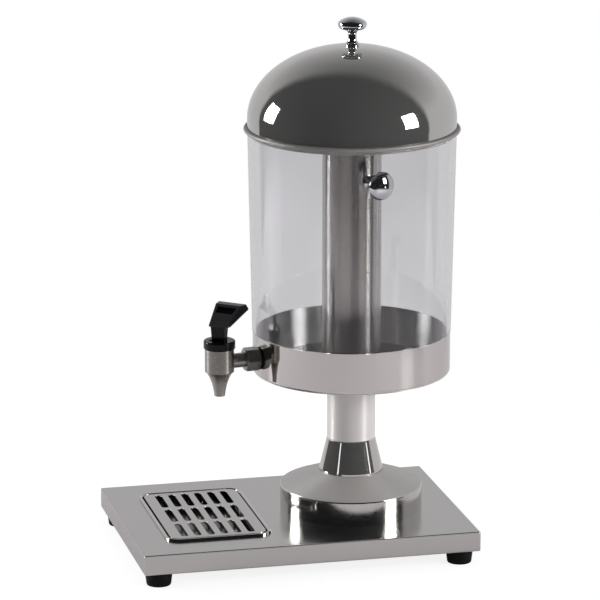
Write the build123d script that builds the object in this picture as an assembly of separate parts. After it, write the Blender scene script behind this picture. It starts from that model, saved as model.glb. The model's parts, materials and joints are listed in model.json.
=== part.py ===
from build123d import *

import math
import os

# A buffet juice dispenser: a clear tank with a steel dome lid and an inner ice tube stands in a steel
# cup on a pedestal, and a lever tap pours over a drip tray let into the base plate.
# Sizes are in millimetres. +Z is up, and the origin is on the floor under the centre of the base
# plate. The tap is on the -Y side, and the tank and its pedestal share one upright axis.

# Base plate: one sheet folded down at the sides and back in at the bottom
BASE_LENGTH = 350.0
BASE_WIDTH = 240.0
BASE_SHEET = 1.2
SKIRT_HEIGHT = 21.0
RETURN_FLANGE = 36.0
FOLD_RADIUS = 1.6

# Rubber feet and the screws that hold them to the return flange
FOOT_HEIGHT = 15.0
FOOT_TOP_RADIUS = 14.2
FOOT_BOTTOM_RADIUS = 12.4
FOOT_INSET = 17.8
FOOT_EDGE_ROUND = 1.2
FOOT_RECESS_DEPTH = 8.0
FOOT_SCREW_RADIUS = 2.5
FOOT_SCREW_HEAD_RADIUS = 4.5
FOOT_SCREW_HEAD_HEIGHT = 3.0
FOOT_NUT_ACROSS_FLATS = 8.0
FOOT_NUT_HEIGHT = 4.0
FOOT_SCREW_TAIL = 1.5
RECESS_CLEARANCE = 1.0

# Drip tray and grille
TRAY_RIM_LENGTH = 165.0
TRAY_RIM_WIDTH = 110.0
TRAY_AHEAD_OF_TAP = 12.8
TRAY_CORNER = 15.0
TRAY_RIM_BAND = 3.6
TRAY_RIM_HEIGHT = 2.6
TRAY_RIM_ROUND = 1.7
TRAY_SHEET = 0.8
TRAY_DEPTH = 12.4
TRAY_FLOOR_ROUND = 3.0
TRAY_CLEARANCE = 0.8
GRILLE_GAP = 1.6
GRILLE_SHEET = 1.2
GRILLE_DROP = 0.3
GRILLE_LIP = 5.0
SLOT_LENGTH = 43.0
SLOT_WIDTH = 7.2
SLOT_ROW_PITCH = 50.0
SLOT_COLUMN_PITCH = 13.9
SLOT_ROWS = 3
SLOT_COLUMNS = 6

# Pedestal: a spun drum, a flared neck and the long tie rod inside them
AXIS_Y = 68.0
DRUM_RADIUS = 74.0
DRUM_EDGE_HEIGHT = 25.2
DRUM_EDGE_ROUND = 2.2
DRUM_HEIGHT = 40.3
DRUM_SEAT_MARGIN = 1.0
DRUM_SHEET = 1.0
NECK_FOOT_RADIUS = 33.0
NECK_LIP = 2.0
NECK_FLARE_HEIGHT = 35.0
NECK_TUBE_RADIUS = 25.0
NECK_BLEND = 12.0
NECK_LENGTH = 106.4
NECK_SHEET = 1.2
NECK_PLUG_HEIGHT = 6.0
ROD_RADIUS = 5.0
ROD_CLEARANCE = 0.3
ROD_TAIL = 3.0
ROD_NUT_ACROSS_FLATS = 17.0
ROD_NUT_HEIGHT = 8.0
ROD_WASHER_RADIUS = 15.0
ROD_WASHER_HEIGHT = 2.0
SPREADER_SIDE = 80.0
SPREADER_SHEET = 3.0

# Steel cup and clear tank
CUP_RADIUS = 102.0
CUP_HEIGHT = 43.7
CUP_SHEET = 0.9
CUP_CORNER = 4.0
TANK_SHOULDER = 0.5
TANK_FLARE = 4.3
TANK_RISE = 209.1
TANK_WALL = 3.5
TANK_FLOOR = 4.0
TANK_RIM_ROUND = 0.8
SPIGOT_CLEARANCE = 0.6
SHOULDER_GAP = 0.4
FLOOR_SEAL_RADIUS = 24.0
FLOOR_SEAL_HEIGHT = 2.0
CLAMP_RADIUS = 22.0
CLAMP_HEIGHT = 2.5
CAP_NUT_DOME = 5.0

# Ice tube
TUBE_RADIUS = 30.3
TUBE_SHEET = 0.8
TUBE_TOP_DROP = 5.5
TUBE_FLOOR_CLEARANCE = 5.0
TUBE_FLOOR_SHEET = 1.5
TUBE_KNOB_DROP = 48.5
TUBE_KNOB_ANGLE = 20.8

# Lid
LID_OVERHANG = 0.2
LID_SHEET = 0.8
LID_WALL_HEIGHT = 10.4
DOME_HEIGHT = 75.4
BEAD_RADIUS = 1.9
BEAD_OFFSET = 1.8
BEAD_RISE = 2.1
LID_RING_SHEET = 0.8
LID_RING_LIP = 4.0
LID_RING_CLEARANCE = 1.1

# Turned knob, used on the lid and on the ice tube
KNOB_HEIGHT = 29.0
KNOB_CAP_RADIUS = 14.8
KNOB_CAP_HEIGHT = 7.4
KNOB_CAP_ROUND = 4.0
KNOB_BOWL_ROUND = 5.0
KNOB_NECK_RADIUS = 4.3
KNOB_BASE_RADIUS = 7.2
KNOB_BASE_HEIGHT = 2.0
KNOB_BASE_FLARE = 5.4
KNOB_SINK = 1.0
KNOB_SCREW_RADIUS = 2.0
KNOB_SCREW_DEPTH = 9.0
KNOB_WASHER_RADIUS = 8.0
KNOB_WASHER_HEIGHT = 1.2
KNOB_SCREW_HEAD_RADIUS = 4.0
KNOB_SCREW_HEAD_HEIGHT = 2.6

# Tap body, shank and wall fittings
TAP_ANGLE = 8.0
TAP_STANDOFF = 43.1
SHANK_HEIGHT = 22.3
SHANK_RADIUS = 7.5
SHANK_BORE_RADIUS = 4.5
SHANK_HOLE_CLEARANCE = 0.3
SHANK_TAIL = 3.0
INNER_WASHER_RADIUS = 14.5
INNER_WASHER_HEIGHT = 2.6
INNER_WASHER_GAP = 0.2
OUTER_WASHER_RADIUS = 11.5
OUTER_WASHER_HEIGHT = 1.2
WALL_NUT_ACROSS_FLATS = 22.0
WALL_NUT_LENGTH = 15.0
WALL_NUT_CHAMFER = 1.9
WALL_NUT_CHAMFER_DEPTH = 1.3
LOCK_NUT_LENGTH = 6.0
BARREL_RADIUS = 15.0
BARREL_WALL = 3.0
BARREL_ABOVE_SHANK = 14.5
BARREL_BELOW_SHANK = 10.0
BARREL_EDGE_ROUND = 0.8
SEAT_BELOW_SHANK = 7.0
SPOUT_ROOT_RADIUS = 13.8
SPOUT_SHOULDER_RADIUS = 10.6
SPOUT_SHOULDER_HEIGHT = 5.3
SPOUT_WAIST_RADIUS = 8.2
SPOUT_WAIST_HEIGHT = 6.2
SPOUT_TIP_RADIUS = 5.5
SPOUT_TIP_HEIGHT = 13.8
NOZZLE_BORE_RADIUS = 4.2

# Tap bonnet, plunger and return spring
BONNET_SEAL_HEIGHT = 1.0
BONNET_OVERHANG = 1.25
BONNET_HEIGHT = 8.0
BONNET_EDGE_ROUND = 1.6
BONNET_SPIGOT_LENGTH = 8.0
BONNET_SPIGOT_CLEARANCE = 0.1
BONNET_FLOOR = 1.2
SPRING_POCKET_RADIUS = 7.0
SPRING_POCKET_DEPTH = 5.0
PLUNGER_RADIUS = 3.0
PLUNGER_CLEARANCE = 0.08
PLUNGER_FLANGE_RADIUS = 6.2
PLUNGER_FLANGE_HEIGHT = 1.5
PLUNGER_STUB = 3.0
SEAT_PLUG_RADIUS = 7.0
SEAT_PLUG_HEIGHT = 5.0
SEAT_GAP = 0.05
SPRING_RADIUS = 4.9
SPRING_WIRE_RADIUS = 0.55
SPRING_HALF_TURNS = 10
SPRING_END_GAP = 0.1

# Lever: a forked foot on a cross pin, a flat stem and a wedge-shaped thumb piece
LEVER_TURN = 42.0
LEVER_WIDTH = 16.4
LEVER_DEPTH = 7.7
LEVER_STEM_HEIGHT = 15.1
LEVER_STEM_TAPER = 1.4
LEVER_SIDE_CLEARANCE = 0.5
LEVER_END_CLEARANCE = 0.6
CAM_THROW = 5.0
CAM_RISE = 1.03
PIN_ABOVE_SEAT = 2.4
PIN_RADIUS = 1.2
PIN_CLEARANCE = 0.05
PIN_END_GAP = 0.5
CAM_SEAT_GAP = 0.12
TONGUE_DEPTH = 5.0
TONGUE_TOP = 2.6
FORK_CLEARANCE = 0.3
HEAD_LIP = 1.5
HEAD_BOTTOM_WIDTH = 19.7
HEAD_TOP_WIDTH = 29.6
HEAD_LEAN = 25.6
HEAD_RISE = 17.2
HEAD_FLAT = 9.0
HEAD_FLAT_RISE = 0.2
HEAD_TAIL_LEAN = 5.8
HEAD_TAIL_FALL = 6.5
HEAD_EDGE_ROUND = 0.8
THUMB_RECESS_HEIGHT = 9.0
THUMB_RECESS_DEPTH = 2.5
THUMB_RECESS_MARGIN = 3.4

# Heights up the stack
plate_top = FOOT_HEIGHT + SKIRT_HEIGHT
flange_top = FOOT_HEIGHT + BASE_SHEET
drum_top = plate_top + DRUM_HEIGHT
cup_bottom = drum_top + NECK_LENGTH
cup_rim = cup_bottom + CUP_HEIGHT
tank_bottom = cup_bottom + CUP_SHEET
tank_floor = tank_bottom + TANK_FLOOR
tank_top = cup_rim + TANK_RISE
shank_z = cup_bottom + SHANK_HEIGHT
seal_top = tank_floor + FLOOR_SEAL_HEIGHT
clamp_top = seal_top + CLAMP_HEIGHT
cap_nut_top = clamp_top + ROD_NUT_HEIGHT + CAP_NUT_DOME

# Fits worked out from the sizes above
spigot_radius = CUP_RADIUS - CUP_SHEET - SPIGOT_CLEARANCE
rod_hole_radius = ROD_RADIUS + ROD_CLEARANCE
tank_foot_radius = CUP_RADIUS + TANK_SHOULDER
tank_top_radius = tank_foot_radius + TANK_FLARE
tank_draft = TANK_FLARE / TANK_RISE
lid_radius = tank_top_radius + LID_OVERHANG
bead_z = tank_top + BEAD_RISE
dome_equator = bead_z + LID_WALL_HEIGHT
dome_top = dome_equator + DOME_HEIGHT
tray_opening_x = TRAY_RIM_LENGTH - 2 * TRAY_RIM_BAND
tray_opening_y = TRAY_RIM_WIDTH - 2 * TRAY_RIM_BAND
tray_inner_corner = TRAY_CORNER - TRAY_RIM_BAND
tray_bottom = plate_top - TRAY_DEPTH
tray_floor = tray_bottom + TRAY_SHEET
grille_x = tray_opening_x - 2 * GRILLE_GAP
grille_y = tray_opening_y - 2 * GRILLE_GAP
grille_corner = tray_inner_corner - GRILLE_GAP
grille_top = plate_top + TRAY_RIM_HEIGHT - GRILLE_DROP
grille_under = grille_top - GRILLE_SHEET
tap_reach = CUP_RADIUS + TAP_STANDOFF
tray_centre_y = AXIS_Y - tap_reach * math.cos(math.radians(TAP_ANGLE)) - TRAY_AHEAD_OF_TAP
barrel_top = shank_z + BARREL_ABOVE_SHANK
barrel_bottom = shank_z - BARREL_BELOW_SHANK
barrel_bore_radius = BARREL_RADIUS - BARREL_WALL
bonnet_radius = BARREL_RADIUS + BONNET_OVERHANG
valve_seat = shank_z - SEAT_BELOW_SHANK
bonnet_bottom = barrel_top + BONNET_SEAL_HEIGHT
bonnet_top = bonnet_bottom + BONNET_HEIGHT
cam_seat = bonnet_bottom + BONNET_FLOOR
pin_z = cam_seat + CAM_SEAT_GAP + PIN_ABOVE_SEAT
tongue_width = 2 * PLUNGER_RADIUS
plug_bottom = valve_seat + SEAT_GAP
plug_top = plug_bottom + SEAT_PLUG_HEIGHT
plunger_flange_top = plug_top + PLUNGER_FLANGE_HEIGHT
spigot_bottom = bonnet_bottom - BONNET_SPIGOT_LENGTH
spring_pocket_top = spigot_bottom + SPRING_POCKET_DEPTH

# Places
tank_axis = Pos(0, AXIS_Y, 0)
tap_frame = tank_axis * Rot(0, 0, TAP_ANGLE)
along_tap = tap_frame * Pos(0, 0, shank_z) * Rot(90, 0, 0)
tap_axis = tap_frame * Pos(0, -tap_reach, 0)
lever_frame = tap_axis * Rot(0, 0, LEVER_TURN)
foot_x = BASE_WIDTH / 2 - FOOT_INSET
foot_y = BASE_LENGTH / 2 - FOOT_INSET
foot_places = {
    "front_left": Pos(-foot_x, -foot_y, 0),
    "front_right": Pos(foot_x, -foot_y, 0),
    "rear_left": Pos(-foot_x, foot_y, 0),
    "rear_right": Pos(foot_x, foot_y, 0),
}


def turned(*outline):
    """Solid turned about Z from a closed outline of curves, each point being (radius, height)."""
    return revolve(Plane.XZ * make_face(outline), Axis.Z)


def turned_points(*points):
    """Solid turned about Z from straight lines between (radius, height) points."""
    return turned(Polyline(*points, close=True))


def disc(radius, bottom, top):
    """Upright cylinder between two heights."""
    return Pos(0, 0, (bottom + top) / 2) * Cylinder(radius, top - bottom)


def ring(outer, inner, bottom, top):
    """Upright tube between two heights."""
    return disc(outer, bottom, top) - disc(inner, bottom, top)


def block(x_size, y_size, bottom, top):
    """Upright box centred on the axis between two heights."""
    return Pos(0, 0, (bottom + top) / 2) * Box(x_size, y_size, top - bottom)


def hexagon(across_flats, bottom, top):
    """Upright hexagonal bar between two heights."""
    outline = RegularPolygon(across_flats / 2, 6, major_radius=False)
    return Pos(0, 0, bottom) * extrude(outline, top - bottom)


def rounded_plate(x_size, y_size, corner, bottom, top):
    """Upright plate with round corners between two heights."""
    return Pos(0, 0, bottom) * extrude(RectangleRounded(x_size, y_size, corner), top - bottom)


def round_edges(solid, radius, height):
    """The circular edges of a turned solid at one radius and height."""
    near = 0.01
    return [
        edge
        for edge in solid.edges().filter_by(GeomType.CIRCLE)
        if abs(edge.radius - radius) < near and abs(edge.center().Z - height) < near
    ]


def group(place_list, solid):
    """Copies of one solid as a group of separate solids."""
    return Compound(children=[place * solid for place in place_list])


def base_plate():
    """Folded sheet with openings for the drip tray, the tie rod and the foot screws."""
    body = fillet(block(BASE_WIDTH, BASE_LENGTH, FOOT_HEIGHT, plate_top).edges(), FOLD_RADIUS)
    inner_x = BASE_WIDTH - 2 * BASE_SHEET
    inner_y = BASE_LENGTH - 2 * BASE_SHEET
    body -= block(inner_x, inner_y, flange_top, plate_top - BASE_SHEET)
    mouth_x = BASE_WIDTH - 2 * RETURN_FLANGE
    mouth_y = BASE_LENGTH - 2 * RETURN_FLANGE
    body -= block(mouth_x, mouth_y, FOOT_HEIGHT, flange_top)
    reach = 2 * (TRAY_SHEET + TRAY_CLEARANCE)
    cutout_corner = tray_inner_corner + reach / 2
    cutout = rounded_plate(
        tray_opening_x + reach, tray_opening_y + reach, cutout_corner, plate_top - BASE_SHEET, plate_top
    )
    body -= Pos(0, tray_centre_y, 0) * cutout
    body -= tank_axis * disc(rod_hole_radius, plate_top - BASE_SHEET, plate_top)
    for place in foot_places.values():
        body -= place * disc(FOOT_SCREW_RADIUS, FOOT_HEIGHT, flange_top)
    return body


def foot(place):
    """Tapered rubber foot with a recess for its screw head."""
    body = turned_points(
        (0, 0), (FOOT_BOTTOM_RADIUS, 0), (FOOT_TOP_RADIUS, FOOT_HEIGHT), (0, FOOT_HEIGHT)
    )
    body = fillet(round_edges(body, FOOT_BOTTOM_RADIUS, 0), FOOT_EDGE_ROUND)
    body -= disc(FOOT_SCREW_HEAD_RADIUS + RECESS_CLEARANCE, 0, FOOT_RECESS_DEPTH)
    body -= disc(FOOT_SCREW_RADIUS, FOOT_RECESS_DEPTH, FOOT_HEIGHT)
    return place * body


def foot_screws():
    """Pan-head screws up through the feet."""
    tail = flange_top + FOOT_NUT_HEIGHT + FOOT_SCREW_TAIL
    head_bottom = FOOT_RECESS_DEPTH - FOOT_SCREW_HEAD_HEIGHT
    screw = disc(FOOT_SCREW_HEAD_RADIUS, head_bottom, FOOT_RECESS_DEPTH)
    screw += disc(FOOT_SCREW_RADIUS, FOOT_RECESS_DEPTH, tail)
    return group(foot_places.values(), screw)


def foot_nuts():
    """Nuts on top of the return flange."""
    nut = hexagon(FOOT_NUT_ACROSS_FLATS, flange_top, flange_top + FOOT_NUT_HEIGHT)
    nut -= disc(FOOT_SCREW_RADIUS, flange_top, flange_top + FOOT_NUT_HEIGHT)
    return group(foot_places.values(), nut)


def drip_tray():
    """Drawn pan that hangs in the base plate by its rolled rim."""
    rim_top = plate_top + TRAY_RIM_HEIGHT
    body = rounded_plate(TRAY_RIM_LENGTH, TRAY_RIM_WIDTH, TRAY_CORNER, plate_top, rim_top)
    wall = 2 * TRAY_SHEET
    pan = rounded_plate(
        tray_opening_x + wall, tray_opening_y + wall, tray_inner_corner + TRAY_SHEET, tray_bottom, plate_top
    )
    body += pan
    body -= rounded_plate(tray_opening_x, tray_opening_y, tray_inner_corner, tray_floor, rim_top)
    floor_face = body.faces().filter_by(Axis.Z).sort_by(Axis.Z)[1]
    body = fillet(floor_face.edges(), TRAY_FLOOR_ROUND)
    rim_face = body.faces().filter_by(Axis.Z).sort_by(Axis.Z)[-1]
    body = fillet(rim_face.edges(), TRAY_RIM_ROUND)
    return Pos(0, tray_centre_y, 0) * body


def drip_grille():
    """Slotted plate that lies just below the tray's rim."""
    body = rounded_plate(grille_x, grille_y, grille_corner, grille_under, grille_top)
    slot = Pos(0, 0, grille_under) * extrude(SlotOverall(SLOT_LENGTH, SLOT_WIDTH), GRILLE_SHEET)
    for place in GridLocations(SLOT_ROW_PITCH, SLOT_COLUMN_PITCH, SLOT_ROWS, SLOT_COLUMNS):
        body -= place * slot
    return Pos(0, tray_centre_y, 0) * body


def grille_bars():
    """Two feet and two edge bars, welded under the grille plate."""
    edge_bar = block(grille_x - 2 * grille_corner, GRILLE_SHEET, grille_under - GRILLE_LIP, grille_under)
    edge_bar_y = (grille_y - GRILLE_SHEET) / 2
    foot_bar = block(GRILLE_SHEET, grille_y - 2 * grille_corner, tray_floor, grille_under)
    foot_bar_x = grille_x / 2 - TRAY_FLOOR_ROUND
    bars = [Pos(0, tray_centre_y + side * edge_bar_y, 0) * edge_bar for side in (-1, 1)]
    bars += [Pos(side * foot_bar_x, tray_centre_y, 0) * foot_bar for side in (-1, 1)]
    return Compound(children=bars)


def drum_block(inset):
    """Solid drum, its faces moved inwards by the inset."""
    edge_radius = DRUM_RADIUS - inset
    edge_height = plate_top + DRUM_EDGE_HEIGHT - inset
    body = turned_points(
        (0, plate_top),
        (edge_radius, plate_top),
        (edge_radius, edge_height),
        (NECK_FOOT_RADIUS + DRUM_SEAT_MARGIN, drum_top - inset),
        (0, drum_top - inset),
    )
    return fillet(round_edges(body, edge_radius, edge_height), DRUM_EDGE_ROUND - inset)


def pedestal_drum():
    """Spun drum, open below, with a flat seat for the neck."""
    body = drum_block(0) - drum_block(DRUM_SHEET)
    body -= disc(rod_hole_radius, drum_top - DRUM_SHEET, drum_top)
    return tank_axis * body


def neck_block(inset):
    """Solid flared neck, its faces moved inwards by the inset."""
    flare_top = drum_top + NECK_FLARE_HEIGHT
    tube_radius = NECK_TUBE_RADIUS - inset
    body = turned_points(
        (0, drum_top),
        (NECK_FOOT_RADIUS - inset, drum_top),
        (NECK_FOOT_RADIUS - inset, drum_top + NECK_LIP),
        (tube_radius, flare_top),
        (tube_radius, cup_bottom),
        (0, cup_bottom),
    )
    return fillet(round_edges(body, tube_radius, flare_top), NECK_BLEND)


def pedestal_neck():
    """Flared tube between the drum and the cup."""
    return tank_axis * (neck_block(0) - neck_block(NECK_SHEET))


def neck_plug():
    """Disc in the top of the neck that carries the cup's floor."""
    radius = NECK_TUBE_RADIUS - NECK_SHEET
    return tank_axis * ring(radius, rod_hole_radius, cup_bottom - NECK_PLUG_HEIGHT, cup_bottom)


def spreader_plate():
    """Square plate under the base sheet that spreads the tie rod's pull."""
    top = plate_top - BASE_SHEET
    body = block(SPREADER_SIDE, SPREADER_SIDE, top - SPREADER_SHEET, top)
    return tank_axis * (body - disc(rod_hole_radius, top - SPREADER_SHEET, top))


rod_washer_top = plate_top - BASE_SHEET - SPREADER_SHEET
rod_nut_top = rod_washer_top - ROD_WASHER_HEIGHT
rod_bottom = rod_nut_top - ROD_NUT_HEIGHT - ROD_TAIL


def tie_rod():
    """Long rod that clamps the base, pedestal, cup and tank together."""
    return tank_axis * disc(ROD_RADIUS, rod_bottom, clamp_top + ROD_NUT_HEIGHT)


def tie_rod_washer():
    """Washer under the spreader plate."""
    return tank_axis * ring(ROD_WASHER_RADIUS, rod_hole_radius, rod_nut_top, rod_washer_top)


def tie_rod_nut():
    """Nut under the base plate."""
    bottom = rod_nut_top - ROD_NUT_HEIGHT
    return tank_axis * (
        hexagon(ROD_NUT_ACROSS_FLATS, bottom, rod_nut_top) - disc(ROD_RADIUS, bottom, rod_nut_top)
    )


def shank_hole(reach):
    """Cutter for the shank's hole through the cup and tank walls."""
    return along_tap * disc(SHANK_RADIUS + SHANK_HOLE_CLEARANCE, CUP_RADIUS - reach, CUP_RADIUS + reach)


def cup_block(inset):
    """Solid cup, its faces moved inwards by the inset."""
    body = disc(CUP_RADIUS - inset, cup_bottom + inset, cup_rim)
    return fillet(round_edges(body, CUP_RADIUS - inset, cup_bottom + inset), CUP_CORNER - inset)


def tank_cup():
    """Drawn steel cup that the tank stands in."""
    body = cup_block(0) - cup_block(CUP_SHEET)
    body -= disc(rod_hole_radius, cup_bottom, tank_bottom)
    return tank_axis * body - shank_hole(INNER_WASHER_RADIUS)


def tank_inner_radius(height):
    """Inside radius of the drafted tank at a height."""
    return tank_foot_radius - TANK_WALL + (height - cup_rim) * tank_draft


def tank_cavity(inset):
    """The space inside the tank, above its floor, its wall moved inwards by the inset."""
    return tank_axis * turned_points(
        (0, tank_floor),
        (tank_inner_radius(tank_floor) - inset, tank_floor),
        (tank_inner_radius(tank_top) - inset, tank_top),
        (0, tank_top),
    )


def tank_shell():
    """Moulded clear tank: a spigot inside the cup, a shoulder over its rim and a drafted wall."""
    shoulder = cup_rim + SHOULDER_GAP
    body = turned_points(
        (0, tank_bottom),
        (spigot_radius - CUP_CORNER, tank_bottom),
        (spigot_radius, tank_bottom + CUP_CORNER),
        (spigot_radius, shoulder),
        (tank_foot_radius, shoulder),
        (tank_top_radius, tank_top),
        (0, tank_top),
    )
    body = tank_axis * body - tank_cavity(0)
    body = fillet(round_edges(body, tank_top_radius, tank_top), TANK_RIM_ROUND)
    body -= tank_axis * disc(rod_hole_radius, tank_bottom, tank_floor)
    return body - shank_hole(INNER_WASHER_RADIUS)


def floor_seal():
    """Rubber seal on the tank floor, round the tie rod."""
    return tank_axis * ring(FLOOR_SEAL_RADIUS, ROD_RADIUS, tank_floor, seal_top)


def clamp_plate():
    """Steel disc that presses the seal down."""
    return tank_axis * ring(CLAMP_RADIUS, ROD_RADIUS, seal_top, clamp_top)


def cap_nut():
    """Domed nut on the tie rod, inside the tank."""
    hex_top = clamp_top + ROD_NUT_HEIGHT
    dome_radius = ROD_NUT_ACROSS_FLATS / 2
    body = hexagon(ROD_NUT_ACROSS_FLATS, clamp_top, hex_top)
    body -= disc(ROD_RADIUS, clamp_top, hex_top)
    dome = turned(
        Line((0, hex_top), (dome_radius, hex_top)),
        EllipticalCenterArc((0, hex_top), dome_radius, CAP_NUT_DOME, 0),
        Line((0, cap_nut_top), (0, hex_top)),
    )
    return tank_axis * (body + dome)


tube_top = tank_top - TUBE_TOP_DROP
tube_floor_bottom = cap_nut_top + TUBE_FLOOR_CLEARANCE
tube_inner_radius = TUBE_RADIUS - TUBE_SHEET
tube_knob_frame = (
    tank_axis * Rot(0, 0, TUBE_KNOB_ANGLE) * Pos(TUBE_RADIUS, 0, tank_top - TUBE_KNOB_DROP) * Rot(0, 90, 0)
)


def ice_tube():
    """Steel tube that stands on the tank floor, over the cap nut."""
    body = tank_axis * ring(TUBE_RADIUS, tube_inner_radius, tank_floor, tube_top)
    return body - tube_knob_frame * disc(KNOB_SCREW_RADIUS, -KNOB_BASE_RADIUS, KNOB_BASE_RADIUS)


def ice_tube_floor():
    """Disc welded in the tube, which keeps the ice apart from the juice."""
    return tank_axis * disc(tube_inner_radius, tube_floor_bottom, tube_floor_bottom + TUBE_FLOOR_SHEET)


def knob_outline():
    """Half outline of the turned knob, from the top of its round base."""
    base_step = KNOB_BASE_RADIUS - KNOB_NECK_RADIUS
    base_round = (base_step**2 + KNOB_BASE_FLARE**2) / (2 * base_step)
    base_angle = math.degrees(math.asin(KNOB_BASE_FLARE / base_round))
    neck_bottom = KNOB_BASE_HEIGHT + KNOB_BASE_FLARE
    widest = KNOB_HEIGHT - KNOB_CAP_HEIGHT
    bowl_radius = KNOB_CAP_RADIUS - KNOB_BOWL_ROUND
    flare = bowl_radius - KNOB_NECK_RADIUS
    neck_top = widest - KNOB_BOWL_ROUND - flare
    edge_radius = KNOB_CAP_RADIUS - KNOB_CAP_ROUND
    edge_rise = KNOB_CAP_HEIGHT - KNOB_CAP_ROUND
    crown_drop = (edge_radius**2 - edge_rise**2) / (2 * edge_rise)
    crown_radius = KNOB_CAP_HEIGHT + crown_drop
    meeting_angle = math.degrees(math.atan2(crown_drop, edge_radius))
    return [
        Line((0, KNOB_BASE_HEIGHT), (KNOB_BASE_RADIUS, KNOB_BASE_HEIGHT)),
        CenterArc((KNOB_NECK_RADIUS + base_round, neck_bottom), base_round, 180, base_angle),
        Line((KNOB_NECK_RADIUS, neck_bottom), (KNOB_NECK_RADIUS, neck_top)),
        CenterArc((bowl_radius, neck_top), flare, 90, 90),
        CenterArc((bowl_radius, widest), KNOB_BOWL_ROUND, 270, 90),
        CenterArc((edge_radius, widest), KNOB_CAP_ROUND, 0, meeting_angle),
        CenterArc((0, widest - crown_drop), crown_radius, meeting_angle, 90 - meeting_angle),
        Line((0, KNOB_HEIGHT), (0, KNOB_BASE_HEIGHT)),
    ]


def knob(frame, base):
    """Turned mushroom knob on its round base, with a blind hole for its screw."""
    body = base + frame * turned(*knob_outline())
    return body - frame * disc(KNOB_SCREW_RADIUS, -KNOB_SINK, KNOB_SCREW_DEPTH)


def knob_screw(sheet):
    """Pan-head screw from behind the sheet that the knob stands on."""
    head_top = -sheet - KNOB_WASHER_HEIGHT
    body = disc(KNOB_SCREW_RADIUS, head_top, KNOB_SCREW_DEPTH)
    return body + disc(KNOB_SCREW_HEAD_RADIUS, head_top - KNOB_SCREW_HEAD_HEIGHT, head_top)


def ice_tube_knob():
    """Side knob to lift the tube by, its base hollowed to the tube."""
    base = tube_knob_frame * disc(KNOB_BASE_RADIUS, -KNOB_SINK, KNOB_BASE_HEIGHT)
    return knob(tube_knob_frame, base - tank_axis * disc(TUBE_RADIUS, tank_floor, tube_top))


def ice_tube_knob_washer():
    """Washer behind the tube wall, curved to it."""
    blank = ring(KNOB_WASHER_RADIUS, KNOB_SCREW_RADIUS, -TUBE_SHEET - KNOB_WASHER_HEIGHT, 0)
    return tube_knob_frame * blank & tank_axis * disc(tube_inner_radius, tank_floor, tube_top)


def ice_tube_knob_screw():
    """Screw from inside the tube."""
    return tube_knob_frame * knob_screw(TUBE_SHEET)


def lid_block(inset):
    """Solid dome on a short straight wall, its faces moved inwards by the inset."""
    radius = lid_radius - inset
    return turned(
        Line((0, bead_z), (radius, bead_z)),
        Line((radius, bead_z), (radius, dome_equator)),
        EllipticalCenterArc((0, dome_equator), radius, DOME_HEIGHT - inset, 0),
        Line((0, dome_top - inset), (0, bead_z)),
    )


def lid_dome():
    """Spun dome with a rolled bead round its edge."""
    bead = turned(Pos(lid_radius + BEAD_OFFSET, bead_z) * Circle(BEAD_RADIUS).edge())
    web = ring(lid_radius + BEAD_OFFSET, lid_radius - LID_SHEET, bead_z, bead_z + LID_SHEET)
    body = lid_block(0) - lid_block(LID_SHEET) + web + bead
    body -= disc(KNOB_SCREW_RADIUS, dome_equator, dome_top)
    return tank_axis * body


def lid_ring():
    """Angle ring inside the lid that rests on the tank's edge and centres the lid."""
    outer = lid_radius - LID_SHEET
    lip_outer = tank_inner_radius(tank_top) - LID_RING_CLEARANCE
    lip_inner = lip_outer - LID_RING_SHEET
    flange_top_z = bead_z + LID_SHEET
    body = turned_points(
        (lip_inner, tank_top - LID_RING_LIP),
        (lip_outer, tank_top - LID_RING_LIP),
        (lip_outer, tank_top),
        (outer, tank_top),
        (outer, flange_top_z),
        (outer - LID_RING_SHEET, flange_top_z),
        (outer - LID_RING_SHEET, tank_top + LID_RING_SHEET),
        (lip_inner, tank_top + LID_RING_SHEET),
    )
    return tank_axis * body


lid_knob_frame = tank_axis * Pos(0, 0, dome_top)


def lid_knob():
    """Knob on top of the dome."""
    return knob(lid_knob_frame, lid_knob_frame * disc(KNOB_BASE_RADIUS, 0, KNOB_BASE_HEIGHT))


def lid_knob_washer():
    """Washer under the top of the dome, shaped to it."""
    blank = ring(KNOB_WASHER_RADIUS, KNOB_SCREW_RADIUS, -LID_SHEET - KNOB_WASHER_HEIGHT, 0)
    return lid_knob_frame * blank & tank_axis * lid_block(LID_SHEET)


def lid_knob_screw():
    """Screw from inside the lid."""
    return lid_knob_frame * knob_screw(LID_SHEET)


wall_inner_radius = tank_inner_radius(shank_z)
inner_washer_end = wall_inner_radius - INNER_WASHER_HEIGHT
lock_nut_end = inner_washer_end - LOCK_NUT_LENGTH
outer_washer_end = CUP_RADIUS + OUTER_WASHER_HEIGHT
wall_nut_end = outer_washer_end + WALL_NUT_LENGTH
shank_inner_end = lock_nut_end - SHANK_TAIL
shank_outer_end = tap_reach - barrel_bore_radius


def tap_outer_washer():
    """Rubber washer pressed against the cup."""
    blank_start = CUP_RADIUS - OUTER_WASHER_RADIUS
    blank = along_tap * ring(OUTER_WASHER_RADIUS, SHANK_RADIUS, blank_start, outer_washer_end)
    return blank - tank_axis * disc(CUP_RADIUS, cup_bottom - CUP_HEIGHT, cup_rim + CUP_HEIGHT)


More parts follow.
